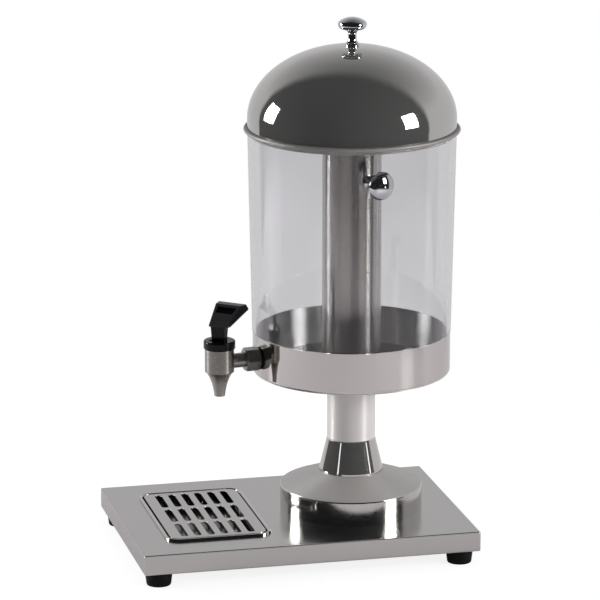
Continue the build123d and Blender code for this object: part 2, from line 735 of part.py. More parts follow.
def tap_wall_nut():
    """Hexagon nut on the shank, outside the cup."""
    body = hexagon(WALL_NUT_ACROSS_FLATS, outer_washer_end, wall_nut_end)
    low = outer_washer_end + WALL_NUT_CHAMFER_DEPTH
    high = wall_nut_end - WALL_NUT_CHAMFER_DEPTH
    corner = WALL_NUT_ACROSS_FLATS / math.sqrt(3)
    end_radius = corner - WALL_NUT_CHAMFER
    body = body & turned_points(
        (0, outer_washer_end),
        (end_radius, outer_washer_end),
        (corner, low),
        (corner, high),
        (end_radius, wall_nut_end),
        (0, wall_nut_end),
    )
    return along_tap * (body - disc(SHANK_RADIUS, outer_washer_end, wall_nut_end))


def tap_inner_washer():
    """Rubber washer pressed against the inside of the tank."""
    blank = along_tap * ring(INNER_WASHER_RADIUS, SHANK_RADIUS, inner_washer_end, CUP_RADIUS)
    return blank & tank_cavity(INNER_WASHER_GAP)


def tap_lock_nut():
    """Hexagon nut on the shank, inside the tank."""
    body = hexagon(WALL_NUT_ACROSS_FLATS, lock_nut_end, inner_washer_end)
    return along_tap * (body - disc(SHANK_RADIUS, lock_nut_end, inner_washer_end))


def tap_shank():
    """Tube from the tank to the tap body."""
    return along_tap * ring(SHANK_RADIUS, SHANK_BORE_RADIUS, shank_inner_end, shank_outer_end)


def tap_body():
    """Barrel with a flat valve seat, and a tapered spout below it."""
    shoulder_z = barrel_bottom - SPOUT_SHOULDER_HEIGHT
    waist_z = shoulder_z - SPOUT_WAIST_HEIGHT
    tip_z = waist_z - SPOUT_TIP_HEIGHT
    tip = (SPOUT_TIP_RADIUS, tip_z)
    root = (SPOUT_ROOT_RADIUS, barrel_bottom)
    spout = Spline(tip, (SPOUT_WAIST_RADIUS, waist_z), (SPOUT_SHOULDER_RADIUS, shoulder_z), root)
    barrel = Polyline(root, (BARREL_RADIUS, barrel_bottom), (BARREL_RADIUS, barrel_top), (0, barrel_top))
    body = turned(spout, barrel, Polyline((0, barrel_top), (0, tip_z), tip))
    body = fillet(round_edges(body, BARREL_RADIUS, barrel_bottom), BARREL_EDGE_ROUND)
    body -= disc(barrel_bore_radius, valve_seat, barrel_top)
    body -= disc(NOZZLE_BORE_RADIUS, tip_z, valve_seat)
    return tap_axis * body - along_tap * disc(SHANK_RADIUS, CUP_RADIUS, tap_reach)


def bonnet_seal():
    """Rubber ring between the barrel and the bonnet."""
    return tap_axis * ring(BARREL_RADIUS, barrel_bore_radius, barrel_top, bonnet_bottom)


cam_radius = PIN_ABOVE_SEAT + CAM_RISE
pocket_front = -CAM_THROW - cam_radius - LEVER_END_CLEARANCE
pocket_rear = math.hypot(LEVER_DEPTH / 2, PIN_ABOVE_SEAT) + LEVER_END_CLEARANCE


def tap_bonnet():
    """Round cap that screws into the barrel, with a pocket for the lever's foot."""
    body = disc(bonnet_radius, bonnet_bottom, bonnet_top)
    body = fillet(round_edges(body, bonnet_radius, bonnet_top), BONNET_EDGE_ROUND)
    body += disc(barrel_bore_radius - BONNET_SPIGOT_CLEARANCE, spigot_bottom, bonnet_bottom)
    body -= disc(SPRING_POCKET_RADIUS, spigot_bottom, spring_pocket_top)
    body -= disc(PLUNGER_RADIUS + PLUNGER_CLEARANCE, spring_pocket_top, cam_seat)
    pocket_x = LEVER_WIDTH + 2 * LEVER_SIDE_CLEARANCE
    pocket = block(pocket_x, pocket_rear - pocket_front, cam_seat, bonnet_top)
    body = tap_axis * body
    return body - lever_frame * Pos(0, (pocket_front + pocket_rear) / 2, 0) * pocket


def tap_plunger():
    """Valve rod: a stub for the plug, a flange for the spring and a flat tongue for the lever."""
    tongue_bottom = cam_seat + CAM_SEAT_GAP
    body = disc(PLUNGER_RADIUS, plug_top - PLUNGER_STUB, tongue_bottom)
    body += disc(PLUNGER_FLANGE_RADIUS, plug_top, plunger_flange_top)
    body += block(tongue_width, TONGUE_DEPTH, tongue_bottom, pin_z + TONGUE_TOP)
    cross = Pos(0, 0, pin_z) * Rot(0, 90, 0)
    body -= cross * Cylinder(PIN_RADIUS, tongue_width)
    return lever_frame * body


def seat_plug():
    """Soft plug on the rod's end that closes the valve seat."""
    body = disc(SEAT_PLUG_RADIUS, plug_bottom, plug_top)
    return tap_axis * (body - disc(PLUNGER_RADIUS, plug_top - PLUNGER_STUB, plug_top))


def lever_pin():
    """Cross pin through the tongue and the lever's two cheeks."""
    length = LEVER_WIDTH - 2 * PIN_END_GAP
    return lever_frame * Pos(0, 0, pin_z) * Rot(0, 90, 0) * Cylinder(PIN_RADIUS, length)


def return_spring():
    """Coil spring between the plunger's flange and the bonnet, as half turns in tilted planes."""
    bottom = plunger_flange_top + SPRING_WIRE_RADIUS + SPRING_END_GAP
    top = spring_pocket_top - SPRING_WIRE_RADIUS - SPRING_END_GAP
    climb = (top - bottom) / SPRING_HALF_TURNS
    arcs = []
    for turn in range(SPRING_HALF_TURNS):
        side = 1 if turn % 2 == 0 else -1
        z = bottom + turn * climb
        start = (side * SPRING_RADIUS, 0, z)
        middle = (0, side * SPRING_RADIUS, z + climb / 2)
        end = (-side * SPRING_RADIUS, 0, z + climb)
        arcs.append(ThreePointArc(start, middle, end))
    path = Wire(arcs)
    section = Plane(origin=path @ 0, z_dir=path % 0) * Circle(SPRING_WIRE_RADIUS)
    return tap_axis * sweep(section, path)


def head_profile():
    """Side outline of the lever's thumb piece as (back, up) points from the stem's top."""
    front = -LEVER_DEPTH / 2 - HEAD_LIP
    brow = (front + HEAD_LEAN, HEAD_RISE)
    crown = (brow[0] + HEAD_FLAT, brow[1] + HEAD_FLAT_RISE)
    tail = (crown[0] + HEAD_TAIL_LEAN, crown[1] - HEAD_TAIL_FALL)
    return [(front, 0), brow, crown, tail, (LEVER_DEPTH / 2, -HEAD_LIP), (-LEVER_DEPTH / 2, -HEAD_LIP)]


def lever_head():
    """Wedge-shaped thumb piece that widens upwards, with a recess near its top."""
    stem_top = bonnet_top + LEVER_STEM_HEIGHT
    side = Pos(0, 0, stem_top) * (Plane.YZ * make_face(Polyline(*head_profile(), close=True)))
    body = extrude(side, HEAD_TOP_WIDTH, both=True)
    slope_length = math.hypot(HEAD_LEAN, HEAD_RISE)
    slope_angle = math.degrees(math.atan2(HEAD_RISE, HEAD_LEAN))
    face_frame = Pos(0, head_profile()[0][0], stem_top) * Rot(slope_angle, 0, 0)
    flare = (HEAD_TOP_WIDTH - HEAD_BOTTOM_WIDTH) / 2 / slope_length
    reach = 2 * slope_length
    low = HEAD_BOTTOM_WIDTH / 2 - flare * HEAD_LIP
    high = HEAD_BOTTOM_WIDTH / 2 + flare * reach
    keystone = make_face(
        Polyline((-low, -HEAD_LIP), (low, -HEAD_LIP), (high, reach), (-high, reach), close=True)
    )
    body = body & face_frame * extrude(keystone, reach, both=True)
    body = fillet(body.edges(), HEAD_EDGE_ROUND)
    top = slope_length - THUMB_RECESS_MARGIN
    bottom = top - THUMB_RECESS_HEIGHT
    upper = HEAD_BOTTOM_WIDTH / 2 + flare * top - THUMB_RECESS_MARGIN
    lower = HEAD_BOTTOM_WIDTH / 2 + flare * bottom - THUMB_RECESS_MARGIN
    recess = make_face(Polyline((-lower, bottom), (lower, bottom), (upper, top), (-upper, top), close=True))
    return body - face_frame * extrude(recess, THUMB_RECESS_DEPTH, both=True)


def tap_lever():
    """Lever whose rounded foot rolls on the bonnet and lifts the cross pin as it is pulled."""
    foot_bottom = pin_z - PIN_ABOVE_SEAT
    stem_top = bonnet_top + LEVER_STEM_HEIGHT
    body = block(LEVER_WIDTH, LEVER_DEPTH, foot_bottom, stem_top)
    for side in (-1, 1):
        edge = side * LEVER_WIDTH / 2
        waist = edge - side * LEVER_STEM_TAPER
        sliver = Polyline((edge, stem_top), (edge, bonnet_top), (waist, bonnet_top), close=True)
        body -= extrude(Plane.XZ * make_face(sliver), LEVER_DEPTH, both=True)
    heel_top = pin_z + CAM_RISE
    cam = Pos(0, -CAM_THROW, heel_top) * Rot(0, 90, 0) * Cylinder(cam_radius, LEVER_WIDTH)
    body += cam & Pos(0, -CAM_THROW, 0) * block(LEVER_WIDTH, 2 * cam_radius, foot_bottom, heel_top)
    body += Pos(0, -CAM_THROW / 2, 0) * block(LEVER_WIDTH, CAM_THROW, foot_bottom, heel_top)
    body += lever_head()
    fork_top = pin_z + math.hypot(TONGUE_DEPTH / 2, TONGUE_TOP) + FORK_CLEARANCE
    fork_depth = 4 * (CAM_THROW + cam_radius)
    body -= block(tongue_width + 2 * FORK_CLEARANCE, fork_depth, foot_bottom, fork_top)
    body -= Pos(0, 0, pin_z) * Rot(0, 90, 0) * Cylinder(PIN_RADIUS + PIN_CLEARANCE, LEVER_WIDTH)
    return lever_frame * body


nodes = {
    "base_plate": base_plate(),
    "foot_screws": foot_screws(),
    "foot_nuts": foot_nuts(),
    "drip_tray": drip_tray(),
    "drip_grille": drip_grille(),
    "grille_bars": grille_bars(),
    "pedestal_drum": pedestal_drum(),
    "pedestal_neck": pedestal_neck(),
    "neck_plug": neck_plug(),
    "spreader_plate": spreader_plate(),
    "tie_rod": tie_rod(),
    "tie_rod_washer": tie_rod_washer(),
    "tie_rod_nut": tie_rod_nut(),
    "tank_cup": tank_cup(),
    "tank_shell": tank_shell(),
    "floor_seal": floor_seal(),
    "clamp_plate": clamp_plate(),
    "cap_nut": cap_nut(),
    "ice_tube": ice_tube(),
    "ice_tube_floor": ice_tube_floor(),
    "ice_tube_knob": ice_tube_knob(),
    "ice_tube_knob_washer": ice_tube_knob_washer(),
    "ice_tube_knob_screw": ice_tube_knob_screw(),
    "lid_dome": lid_dome(),
    "lid_ring": lid_ring(),
    "lid_knob": lid_knob(),
    "lid_knob_washer": lid_knob_washer(),
    "lid_knob_screw": lid_knob_screw(),
    "tap_outer_washer": tap_outer_washer(),
    "tap_wall_nut": tap_wall_nut(),
    "tap_inner_washer": tap_inner_washer(),
    "tap_lock_nut": tap_lock_nut(),
    "tap_shank": tap_shank(),
    "tap_body": tap_body(),
    "bonnet_seal": bonnet_seal(),
    "tap_bonnet": tap_bonnet(),
    "tap_plunger": tap_plunger(),
    "seat_plug": seat_plug(),
    "return_spring": return_spring(),
    "lever_pin": lever_pin(),
    "tap_lever": tap_lever(),
}
for corner, place in foot_places.items():
    nodes[f"foot_{corner}"] = foot(place)

os.makedirs("parts", exist_ok=True)
for name, shape in nodes.items():
    export_step(shape, f"parts/{name}.step")
print(f"{len(nodes)} pieces written")
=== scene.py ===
# %% [markdown]
# # A buffet juice dispenser
# The dispenser is a clear tank with a dome lid, held in a steel cup on a spun pedestal, with a lever tap
# over a drip tray. Almost every visible surface is bare metal, so the object looks like what it reflects.
# This lesson therefore gives the studio as much care as the finishes. The solids come from CAD and are
# right as they are, so most of them stay and only get a real finish.

# %% Load the CAD frame
import json
import math

import bpy
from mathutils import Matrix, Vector


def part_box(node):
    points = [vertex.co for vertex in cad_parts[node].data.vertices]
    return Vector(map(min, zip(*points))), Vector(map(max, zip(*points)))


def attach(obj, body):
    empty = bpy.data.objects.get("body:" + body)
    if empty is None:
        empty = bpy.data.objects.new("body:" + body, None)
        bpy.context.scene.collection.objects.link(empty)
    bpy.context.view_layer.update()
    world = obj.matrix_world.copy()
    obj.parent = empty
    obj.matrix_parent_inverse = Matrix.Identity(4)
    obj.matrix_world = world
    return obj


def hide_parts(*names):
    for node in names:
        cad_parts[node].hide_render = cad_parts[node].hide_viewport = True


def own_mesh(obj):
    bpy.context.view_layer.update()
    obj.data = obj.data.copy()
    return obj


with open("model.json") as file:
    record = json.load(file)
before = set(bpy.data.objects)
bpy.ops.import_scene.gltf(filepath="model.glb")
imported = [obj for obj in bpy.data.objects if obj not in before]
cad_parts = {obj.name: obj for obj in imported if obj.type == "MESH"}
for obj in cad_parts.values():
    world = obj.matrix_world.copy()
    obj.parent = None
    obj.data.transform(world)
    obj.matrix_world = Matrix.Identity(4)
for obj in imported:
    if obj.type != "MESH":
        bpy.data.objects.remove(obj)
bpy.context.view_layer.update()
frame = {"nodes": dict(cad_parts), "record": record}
nodes = frame["nodes"]

# %% [markdown]
# ## Units, colours and nodes
# Sizes on the object are written in millimetres, as on a drawing, and turned to Blender's metres by one
# function. The studio is laid out in metres. Colours are written as the sRGB hex values that a screen shows,
# and turned to the linear values that the renderer works with. One function adds a node to any tree, so a
# finish reads as a list of its parts.

# %% Helpers
def mm(value):
    """Millimetres in metres."""
    return value / 1000


def per_mm(size):
    """Texture scale at which one feature of a pattern has this size in millimetres."""
    return 1 / mm(size)


def srgb(code):
    """Linear RGBA of an sRGB hex colour."""
    channels = [int(code[i : i + 2], 16) / 255 for i in (1, 3, 5)]
    return [c / 12.92 if c <= 0.04045 else ((c + 0.055) / 1.055) ** 2.4 for c in channels] + [1.0]


def add_node(tree, kind, inputs=None, **settings):
    """Adds a node, sets its properties, then sets or links its inputs."""
    node = tree.nodes.new(kind)
    for name, value in settings.items():
        setattr(node, name, value)
    for name, value in (inputs or {}).items():
        if isinstance(value, bpy.types.NodeSocket):
            tree.links.new(value, node.inputs[name])
        else:
            node.inputs[name].default_value = value
    return node


def add_object(name, data):
    """Puts new data into the scene as an object at the origin."""
    item = bpy.data.objects.new(name, data)
    bpy.context.scene.collection.objects.link(item)
    return item


def empty_material(name):
    """A new material and its tree, with no nodes yet."""
    material = bpy.data.materials.new(name)
    material.use_nodes = True
    material.node_tree.nodes.clear()
    return material, material.node_tree


print("mid grey is", round(srgb("#808080")[0], 3), "in linear light")

# %% [markdown]
# ## The camera
# A long lens from four metres keeps the tank's sides nearly upright, as in the photograph. Its place, turn
# and lens were found by matching the base plate's corners, the cup's rim and the dome.

# %% Camera
CAMERA_PLACE = Vector((3.738, -0.877, 1.246))
CAMERA_BACK = Vector((0.94227, -0.22448, 0.24853))
LENS = 231.8
SENSOR = 36.0

camera = add_object("camera", bpy.data.cameras.new("camera"))
camera.data.lens = LENS
camera.data.sensor_width = SENSOR
camera.location = CAMERA_PLACE
camera.rotation_mode = "QUATERNION"
camera.rotation_quaternion = CAMERA_BACK.to_track_quat("Z", "Y")
scene = bpy.context.scene
scene.camera = camera
scene.view_settings.view_transform = "Standard"
print("camera at", [round(x, 2) for x in CAMERA_PLACE], "with a", LENS, "mm lens")

# %% [markdown]
# ## The studio
# The polished dome mirrors the room that it was shot in. The simplest room that explains what it shows has
# a pale paper sweep behind, which fades upwards, a dark room in front, a pale table, and a soft box on each
# side. A picture of a room could be wrapped round the scene, but four simple things that can be measured in
# the dome are easier to correct. Places in the studio are given as a compass would give them, seen from the
# object, with the camera at zero.

# %% Directions in the studio
TOWARD_CAMERA = Vector((CAMERA_BACK.x, CAMERA_BACK.y, 0)).normalized()
TO_THE_RIGHT = Vector((-TOWARD_CAMERA.y, TOWARD_CAMERA.x, 0))


def direction(azimuth, elevation):
    """Unit vector for an azimuth from the camera's side, positive to the right, and an elevation."""
    a = math.radians(azimuth)
    e = math.radians(elevation)
    flat = TOWARD_CAMERA * math.cos(a) + TO_THE_RIGHT * math.sin(a)
    return flat * math.cos(e) + Vector((0, 0, math.sin(e)))


def arc(azimuths, reach, height):
    """Points round the object, at a reach from it and a height over the table."""
    return [direction(azimuth, 0) * reach + Vector((0, 0, height)) for azimuth in azimuths]


print("the camera looks from", [round(x, 3) for x in TOWARD_CAMERA])

# %% [markdown]
# ### The room
# The world is one shader. The paper is where a ray's direction comes close enough to straight behind, with
# an edge that gets softer upwards, as a hanging sweep's does. Light Path then tells the rays apart. Rays
# from the camera meet plain white, as in the photograph's cut-out background. Glossy and transmission rays
# meet the studio, so that metal and glass show the pale paper too. A ray that has only gone through the tank,
# with no mirror on its way, meets paper on every side, so the tank stays clear from wherever it is seen. The
# rest, which light the matt surfaces, meet a plain soft light.

# %% World: paper sweep behind, dark room in front
ROOM = srgb("#212326")
PAPER = srgb("#D7D6D8")
PAPER_AZIMUTH = 164.3  # the middle of the paper
PAPER_EDGE = 0.30  # cosine of the angle from there to its edge
EDGE_SOFTNESS = 0.03
TOP_SOFTNESS = 0.12
FADE_START = 0.30  # upward part of a ray's direction where the fading starts
FADE_END = 1.08

world = bpy.data.worlds.new("studio")
world.use_nodes = True
world.cycles.sampling_method = "NONE"  # lamp-like sampling of the world would lose the kind of ray
scene.world = world
tree = world.node_tree
tree.nodes.clear()
ray = add_node(tree, "ShaderNodeTexCoord").outputs["Generated"]
facing = {0: ray, 1: direction(PAPER_AZIMUTH, 0)}
side = add_node(tree, "ShaderNodeVectorMath", facing, operation="DOT_PRODUCT").outputs["Value"]
height = add_node(tree, "ShaderNodeSeparateXYZ", {0: ray}).outputs["Z"]
up = add_node(tree, "ShaderNodeMath", {0: height, 1: 0.0}, operation="MAXIMUM").outputs[0]
spread = {0: up, 1: TOP_SOFTNESS, 2: EDGE_SOFTNESS}
soft = add_node(tree, "ShaderNodeMath", spread, operation="MULTIPLY_ADD").outputs[0]
low = add_node(tree, "ShaderNodeMath", {0: PAPER_EDGE, 1: soft}, operation="SUBTRACT").outputs[0]
high = add_node(tree, "ShaderNodeMath", {0: PAPER_EDGE, 1: soft}, operation="ADD").outputs[0]
edge = {"Value": side, "From Min": low, "From Max": high}
on_paper = add_node(tree, "ShaderNodeMapRange", edge, interpolation_type="SMOOTHSTEP").outputs[0]
fade = {"Value": height, "From Min": FADE_START, "From Max": FADE_END, "To Min": 1.0, "To Max": 0.0}
lit = add_node(tree, "ShaderNodeMapRange", fade).outputs[0]
amount = add_node(tree, "ShaderNodeMath", {0: on_paper, 1: lit}, operation="MULTIPLY").outputs[0]
room = add_node(tree, "ShaderNodeMix", {0: amount, 6: ROOM, 7: PAPER}, data_type="RGBA").outputs[2]
print("paper", round(PAPER[0], 2), "dark room", round(ROOM[0], 3), "in linear light")

# %% World: what each kind of ray meets
PLAIN = srgb("#AAAAAA")
WHITE = (1, 1, 1, 1)

kind = add_node(tree, "ShaderNodeLightPath").outputs
mirrors = {0: kind["Glossy Depth"], 1: 1.0}
mirrored = add_node(tree, "ShaderNodeMath", mirrors, operation="MINIMUM").outputs[0]
room = add_node(tree, "ShaderNodeMix", {0: mirrored, 6: PAPER, 7: room}, data_type="RGBA").outputs[2]
studio = add_node(tree, "ShaderNodeBackground", {"Color": room}).outputs[0]
plain = add_node(tree, "ShaderNodeBackground", {"Color": PLAIN}).outputs[0]
white = add_node(tree, "ShaderNodeBackground", {"Color": WHITE}).outputs[0]
bright = {0: kind["Is Glossy Ray"], 1: kind["Is Transmission Ray"]}
metal_or_glass = add_node(tree, "ShaderNodeMath", bright, operation="MAXIMUM").outputs[0]
indoors = add_node(tree, "ShaderNodeMixShader", {0: metal_or_glass, 1: plain, 2: studio}).outputs[0]
backdrop = {0: kind["Is Camera Ray"], 1: indoors, 2: white}
backdrop = add_node(tree, "ShaderNodeMixShader", backdrop).outputs[0]
add_node(tree, "ShaderNodeOutputWorld", {"Surface": backdrop})
print("world of", len(tree.nodes), "nodes")

# %% [markdown]
# ### Lamps
# The soft boxes are area lamps. They stand far enough away to look alike from the dome and from the foot.
# Each is a cloth with a hotter middle, where the flash sits behind it: the cloth gives broad, mild glints on
# steel, and the middle gives the small bright ones on glossy black plastic. The neck's flare also shows two
# thin upright lines, which no large lamp gives. Two weak strips make them, and light linking lets only the
# neck receive them, so they don't show anywhere else.

# %% Soft boxes
SOFT_BOX_DISTANCE = 3.0
SOFT_BOX_SIZE = (0.86, 1.25)
SOFT_BOX_PLACES = (("left", -103, 11.3), ("right", 67, 14))
CLOTH_WATTS = 55
HOT_SIZE = (0.25, 0.25)
HOT_WATTS = 15
HOT_AHEAD = 0.02
DOME_CENTRE = Vector((0, 0.068, 0.46))


def lamp_at(name, shape, watts, size, towards, distance):
    """An area lamp that faces the dome."""
    light = bpy.data.lights.new(name, "AREA")
    light.shape = shape
    light.size = size[0]
    light.size_y = size[1]
    light.energy = watts
    lamp = add_object(name, light)
    lamp.location = DOME_CENTRE + distance * towards
    lamp.rotation_mode = "QUATERNION"
    lamp.rotation_quaternion = towards.to_track_quat("Z", "Y")
    lamp.visible_camera = False
    return lamp


for hand, azimuth, elevation in SOFT_BOX_PLACES:
    towards = direction(azimuth, elevation)
    lamp_at(f"{hand} cloth", "RECTANGLE", CLOTH_WATTS, SOFT_BOX_SIZE, towards, SOFT_BOX_DISTANCE)
    lamp_at(f"{hand} hot middle", "DISK", HOT_WATTS, HOT_SIZE, towards, SOFT_BOX_DISTANCE - HOT_AHEAD)
print(len(SOFT_BOX_PLACES), "soft boxes at", SOFT_BOX_DISTANCE, "m")

# %% Strips for the flare
STRIP_DISTANCE = 1.0
STRIP_SIZE = (0.08, 0.12)
STRIP_PLACES = (("left", -48, -12.7), ("right", 73, -15.8))
STRIP_WATTS = 0.06

flare_only = bpy.data.collections.new("flare only")
flare_only.objects.link(nodes["pedestal_neck"])
for hand, azimuth, elevation in STRIP_PLACES:
    towards = direction(azimuth, elevation)
    strip = lamp_at(f"{hand} strip", "RECTANGLE", STRIP_WATTS, STRIP_SIZE, towards, STRIP_DISTANCE)
    strip.light_linking.receiver_collection = flare_only
print(len(STRIP_PLACES), "strips that only the neck receives")

# %% [markdown]
# ### The table
# The side knob shows where the table ends: its upper half is dark and its lower half pale. So the table is
# round in front and fades out about 1.4 m away, and it has a straight edge close behind the object. The
# dome's foot then shows the dark room, while the cup and the ice tube below it still show the table. Its top
# is glossy enough to carry the soft boxes on to the steel. Seen straight from the camera it is bleached
# white, and only the object's soft shadow is left.

# %% Table top
TABLE_REACH = 1.6
TABLE_MIDDLE = -0.25 * TO_THE_RIGHT
TABLE_BACK = 0.62
TABLE_STEPS = 48

table_mesh = bpy.data.meshes.new("table")
turns = [math.tau * step / TABLE_STEPS for step in range(TABLE_STEPS)]
rim = [(TABLE_REACH * math.cos(turn), TABLE_REACH * math.sin(turn)) for turn in turns]
corners = [
    TOWARD_CAMERA * max(along, -TABLE_BACK) + TO_THE_RIGHT * across + TABLE_MIDDLE for along, across in rim
]
table_mesh.from_pydata(corners, [], [range(TABLE_STEPS)])
table = add_object("table", table_mesh)
print("table", round(TABLE_REACH + TABLE_BACK, 2), "m deep")

# %% Table's laminate
TABLE_COLOUR = srgb("#E8E2E6")
TABLE_FADE = 1.1
TABLE_GLOW = 0.03
TABLE_GLOSS = 0.022
TABLE_ROUGHNESS = 0.25
SHADOW_NEAR = 0.24
SHADOW_FAR = 0.58
SHADOW_SHARE = 0.22
BLEACH = 1.1

# pale with a faint gloss in the steel, and plain white with a soft shadow to the camera
laminate, tree = empty_material("laminate, pale gloss")
top = {"Base Color": TABLE_COLOUR, "Emission Color": TABLE_COLOUR}
top["Emission Strength"] = TABLE_GLOW
top["Specular IOR Level"] = 0.0
top = add_node(tree, "ShaderNodeBsdfPrincipled", top).outputs[0]
film = {"Color": (TABLE_GLOSS, TABLE_GLOSS, TABLE_GLOSS, 1), "Roughness": TABLE_ROUGHNESS}
film = add_node(tree, "ShaderNodeBsdfGlossy", film).outputs[0]
top = add_node(tree, "ShaderNodeAddShader", {0: top, 1: film}).outputs[0]
dark = add_node(tree, "ShaderNodeBsdfTransparent").outputs[0]
bleached = add_node(tree, "ShaderNodeEmission", {"Strength": BLEACH}).outputs[0]
matt = add_node(tree, "ShaderNodeBsdfDiffuse", {"Color": WHITE}).outputs[0]
place = add_node(tree, "ShaderNodeTexCoord").outputs["Object"]
reach = add_node(tree, "ShaderNodeVectorMath", {0: place}, operation="LENGTH").outputs["Value"]
out = {0: place, 1: TABLE_MIDDLE}
out = add_node(tree, "ShaderNodeVectorMath", out, operation="DISTANCE").outputs["Value"]
fading = {"Value": out, "From Min": TABLE_FADE, "From Max": TABLE_REACH}
fading = add_node(tree, "ShaderNodeMapRange", fading, interpolation_type="SMOOTHSTEP").outputs[0]
top = add_node(tree, "ShaderNodeMixShader", {0: fading, 1: top, 2: dark}).outputs[0]
near = {"Value": reach, "From Min": SHADOW_NEAR, "From Max": SHADOW_FAR}
near["To Min"] = SHADOW_SHARE
near["To Max"] = 0.0
near = add_node(tree, "ShaderNodeMapRange", near, interpolation_type="SMOOTHSTEP").outputs[0]
shadow = add_node(tree, "ShaderNodeMixShader", {0: near, 1: bleached, 2: matt}).outputs[0]
seen = add_node(tree, "ShaderNodeLightPath").outputs["Is Camera Ray"]
both = add_node(tree, "ShaderNodeMixShader", {0: seen, 1: top, 2: shadow}).outputs[0]
add_node(tree, "ShaderNodeOutputMaterial", {"Surface": both})
table_mesh.materials.append(laminate)
print(laminate.name, "fades from", TABLE_FADE, "to", TABLE_REACH, "m")

# %% [markdown]
# ### A black card and two lit sheets
# The ice tube shows soft upright bands, a dark one between two paler ones, and nothing in the room so far
# gives them. They could be painted on the tube, but would be wrong as soon as the camera moves. A black card
# and two lit sheets of paper lie on the table instead, at the angles that the tube mirrors there. What stood
# in the real room isn't known. They are meant for the tube alone: Light Path counts a ray's mirrors and its
# ways through clear walls, and only a ray with at least one of each, which comes out of the tank, meets them.
# A lit sheet adds its glow to the table under it.

# %% Card and sheets
SHEET_LIFT = mm(1.0)
CARD_AZIMUTHS = range(4, 29, 4)
CARD_REACH = (1.12, 1.7)
LEFT_AZIMUTHS = range(-40, 1, 4)
RIGHT_AZIMUTHS = range(32, 57, 4)
SHEET_REACH = (0.6, 1.5)


def lay_on_table(name, azimuths, reach, colour, lets_light_through):
    """A piece of a ring on the table, which only rays out of the tank meet."""
    near, far = reach
    corners = arc(azimuths, near, SHEET_LIFT) + arc(reversed(azimuths), far, SHEET_LIFT)
    mesh = bpy.data.meshes.new(name)
    mesh.from_pydata(corners, [], [range(len(corners))])
    add_object(name, mesh)
    material, tree = empty_material(name)
    gone = add_node(tree, "ShaderNodeBsdfTransparent").outputs[0]
    face = add_node(tree, "ShaderNodeEmission", {"Color": srgb(colour)}).outputs[0]
    if lets_light_through:
        face = add_node(tree, "ShaderNodeAddShader", {0: gone, 1: face}).outputs[0]
    path = add_node(tree, "ShaderNodeLightPath").outputs
    from_tank = {0: path["Glossy Depth"], 1: path["Transmission Depth"]}
    from_tank = add_node(tree, "ShaderNodeMath", from_tank, operation="MULTIPLY").outputs[0]
    from_tank = add_node(tree, "ShaderNodeMath", {0: from_tank, 1: 1.0}, operation="MINIMUM").outputs[0]
    shown = add_node(tree, "ShaderNodeMixShader", {0: from_tank, 1: gone, 2: face}).outputs[0]
    add_node(tree, "ShaderNodeOutputMaterial", {"Surface": shown})
    mesh.materials.append(material)
    print(name, "from", azimuths[0], "to", azimuths[-1], "degrees")


lay_on_table("black card", CARD_AZIMUTHS, CARD_REACH, "#1C1C1F", lets_light_through=False)
lay_on_table("left sheet", LEFT_AZIMUTHS, SHEET_REACH, "#76756F", lets_light_through=True)
lay_on_table("right sheet", RIGHT_AZIMUTHS, SHEET_REACH, "#8A847C", lets_light_through=True)

# %% [markdown]
# ### A pale screen for the base plate
# From behind, the flat plate mirrors the dark room and would look like black glass. A brighter room would
# spoil the dome, so a tall pale screen stands round the front, and light linking lets only the plate, and
# later the grille on it, receive its light. Its shader adds that light to whatever lies behind, so nothing is
# blocked. It shines only after one mirror, because the drum shows the plate's reflection, which is dark.

# %% Pale screen
SCREEN_AZIMUTHS = range(-120, 89, 8)
SCREEN_REACH = 2.6
SCREEN_FOOT = 0.1
SCREEN_TOP = 3.6
SCREEN_COLOUR = srgb("#CFCECF")
COUNT_SLACK = 0.1  # counts are whole numbers, so this is close enough

foot = arc(SCREEN_AZIMUTHS, SCREEN_REACH, SCREEN_FOOT)
top = arc(SCREEN_AZIMUTHS, SCREEN_REACH, SCREEN_TOP)
across = len(foot)
panels = [(i, i + 1, i + 1 + across, i + across) for i in range(across - 1)]
screen_mesh = bpy.data.meshes.new("pale screen")
screen_mesh.from_pydata(foot + top, [], panels)
screen = add_object("pale screen", screen_mesh)
# a plain pale light in the plate, unseen everywhere else
pale_screen, tree = empty_material("pale screen")
pale_screen.cycles.emission_sampling = "NONE"  # only rays find it, as with the world
mirrors = add_node(tree, "ShaderNodeLightPath").outputs["Glossy Depth"]
once = {0: mirrors, 1: 1.0, 2: COUNT_SLACK}
once = add_node(tree, "ShaderNodeMath", once, operation="COMPARE").outputs[0]
face = add_node(tree, "ShaderNodeEmission", {"Color": SCREEN_COLOUR, "Strength": once}).outputs[0]
gone = add_node(tree, "ShaderNodeBsdfTransparent").outputs[0]
shown = add_node(tree, "ShaderNodeAddShader", {0: gone, 1: face}).outputs[0]
add_node(tree, "ShaderNodeOutputMaterial", {"Surface": shown})
screen_mesh.materials.append(pale_screen)
plate_only = bpy.data.collections.new("plate only")
plate_only.objects.link(nodes["base_plate"])
screen.light_linking.receiver_collection = plate_only
print("pale screen of", len(panels), "panels")

# %% [markdown]
# ## Finishes
# Each finish starts from what the real material is and how its surface was made. Patterns are laid out in
# the object's own coordinates, in metres, so their scales are worked out from real sizes. Many pieces are
# turned or spun, so a point's distance from an upright axis and its height are measured often, and a mask
# says where one surface ends and the next begins.

# %% A bare finish to start from
TANK_AXIS = (0.0, mm(68.0), 0.0)
TAP_AXIS = (mm(20.194), mm(-75.688), 0.0)


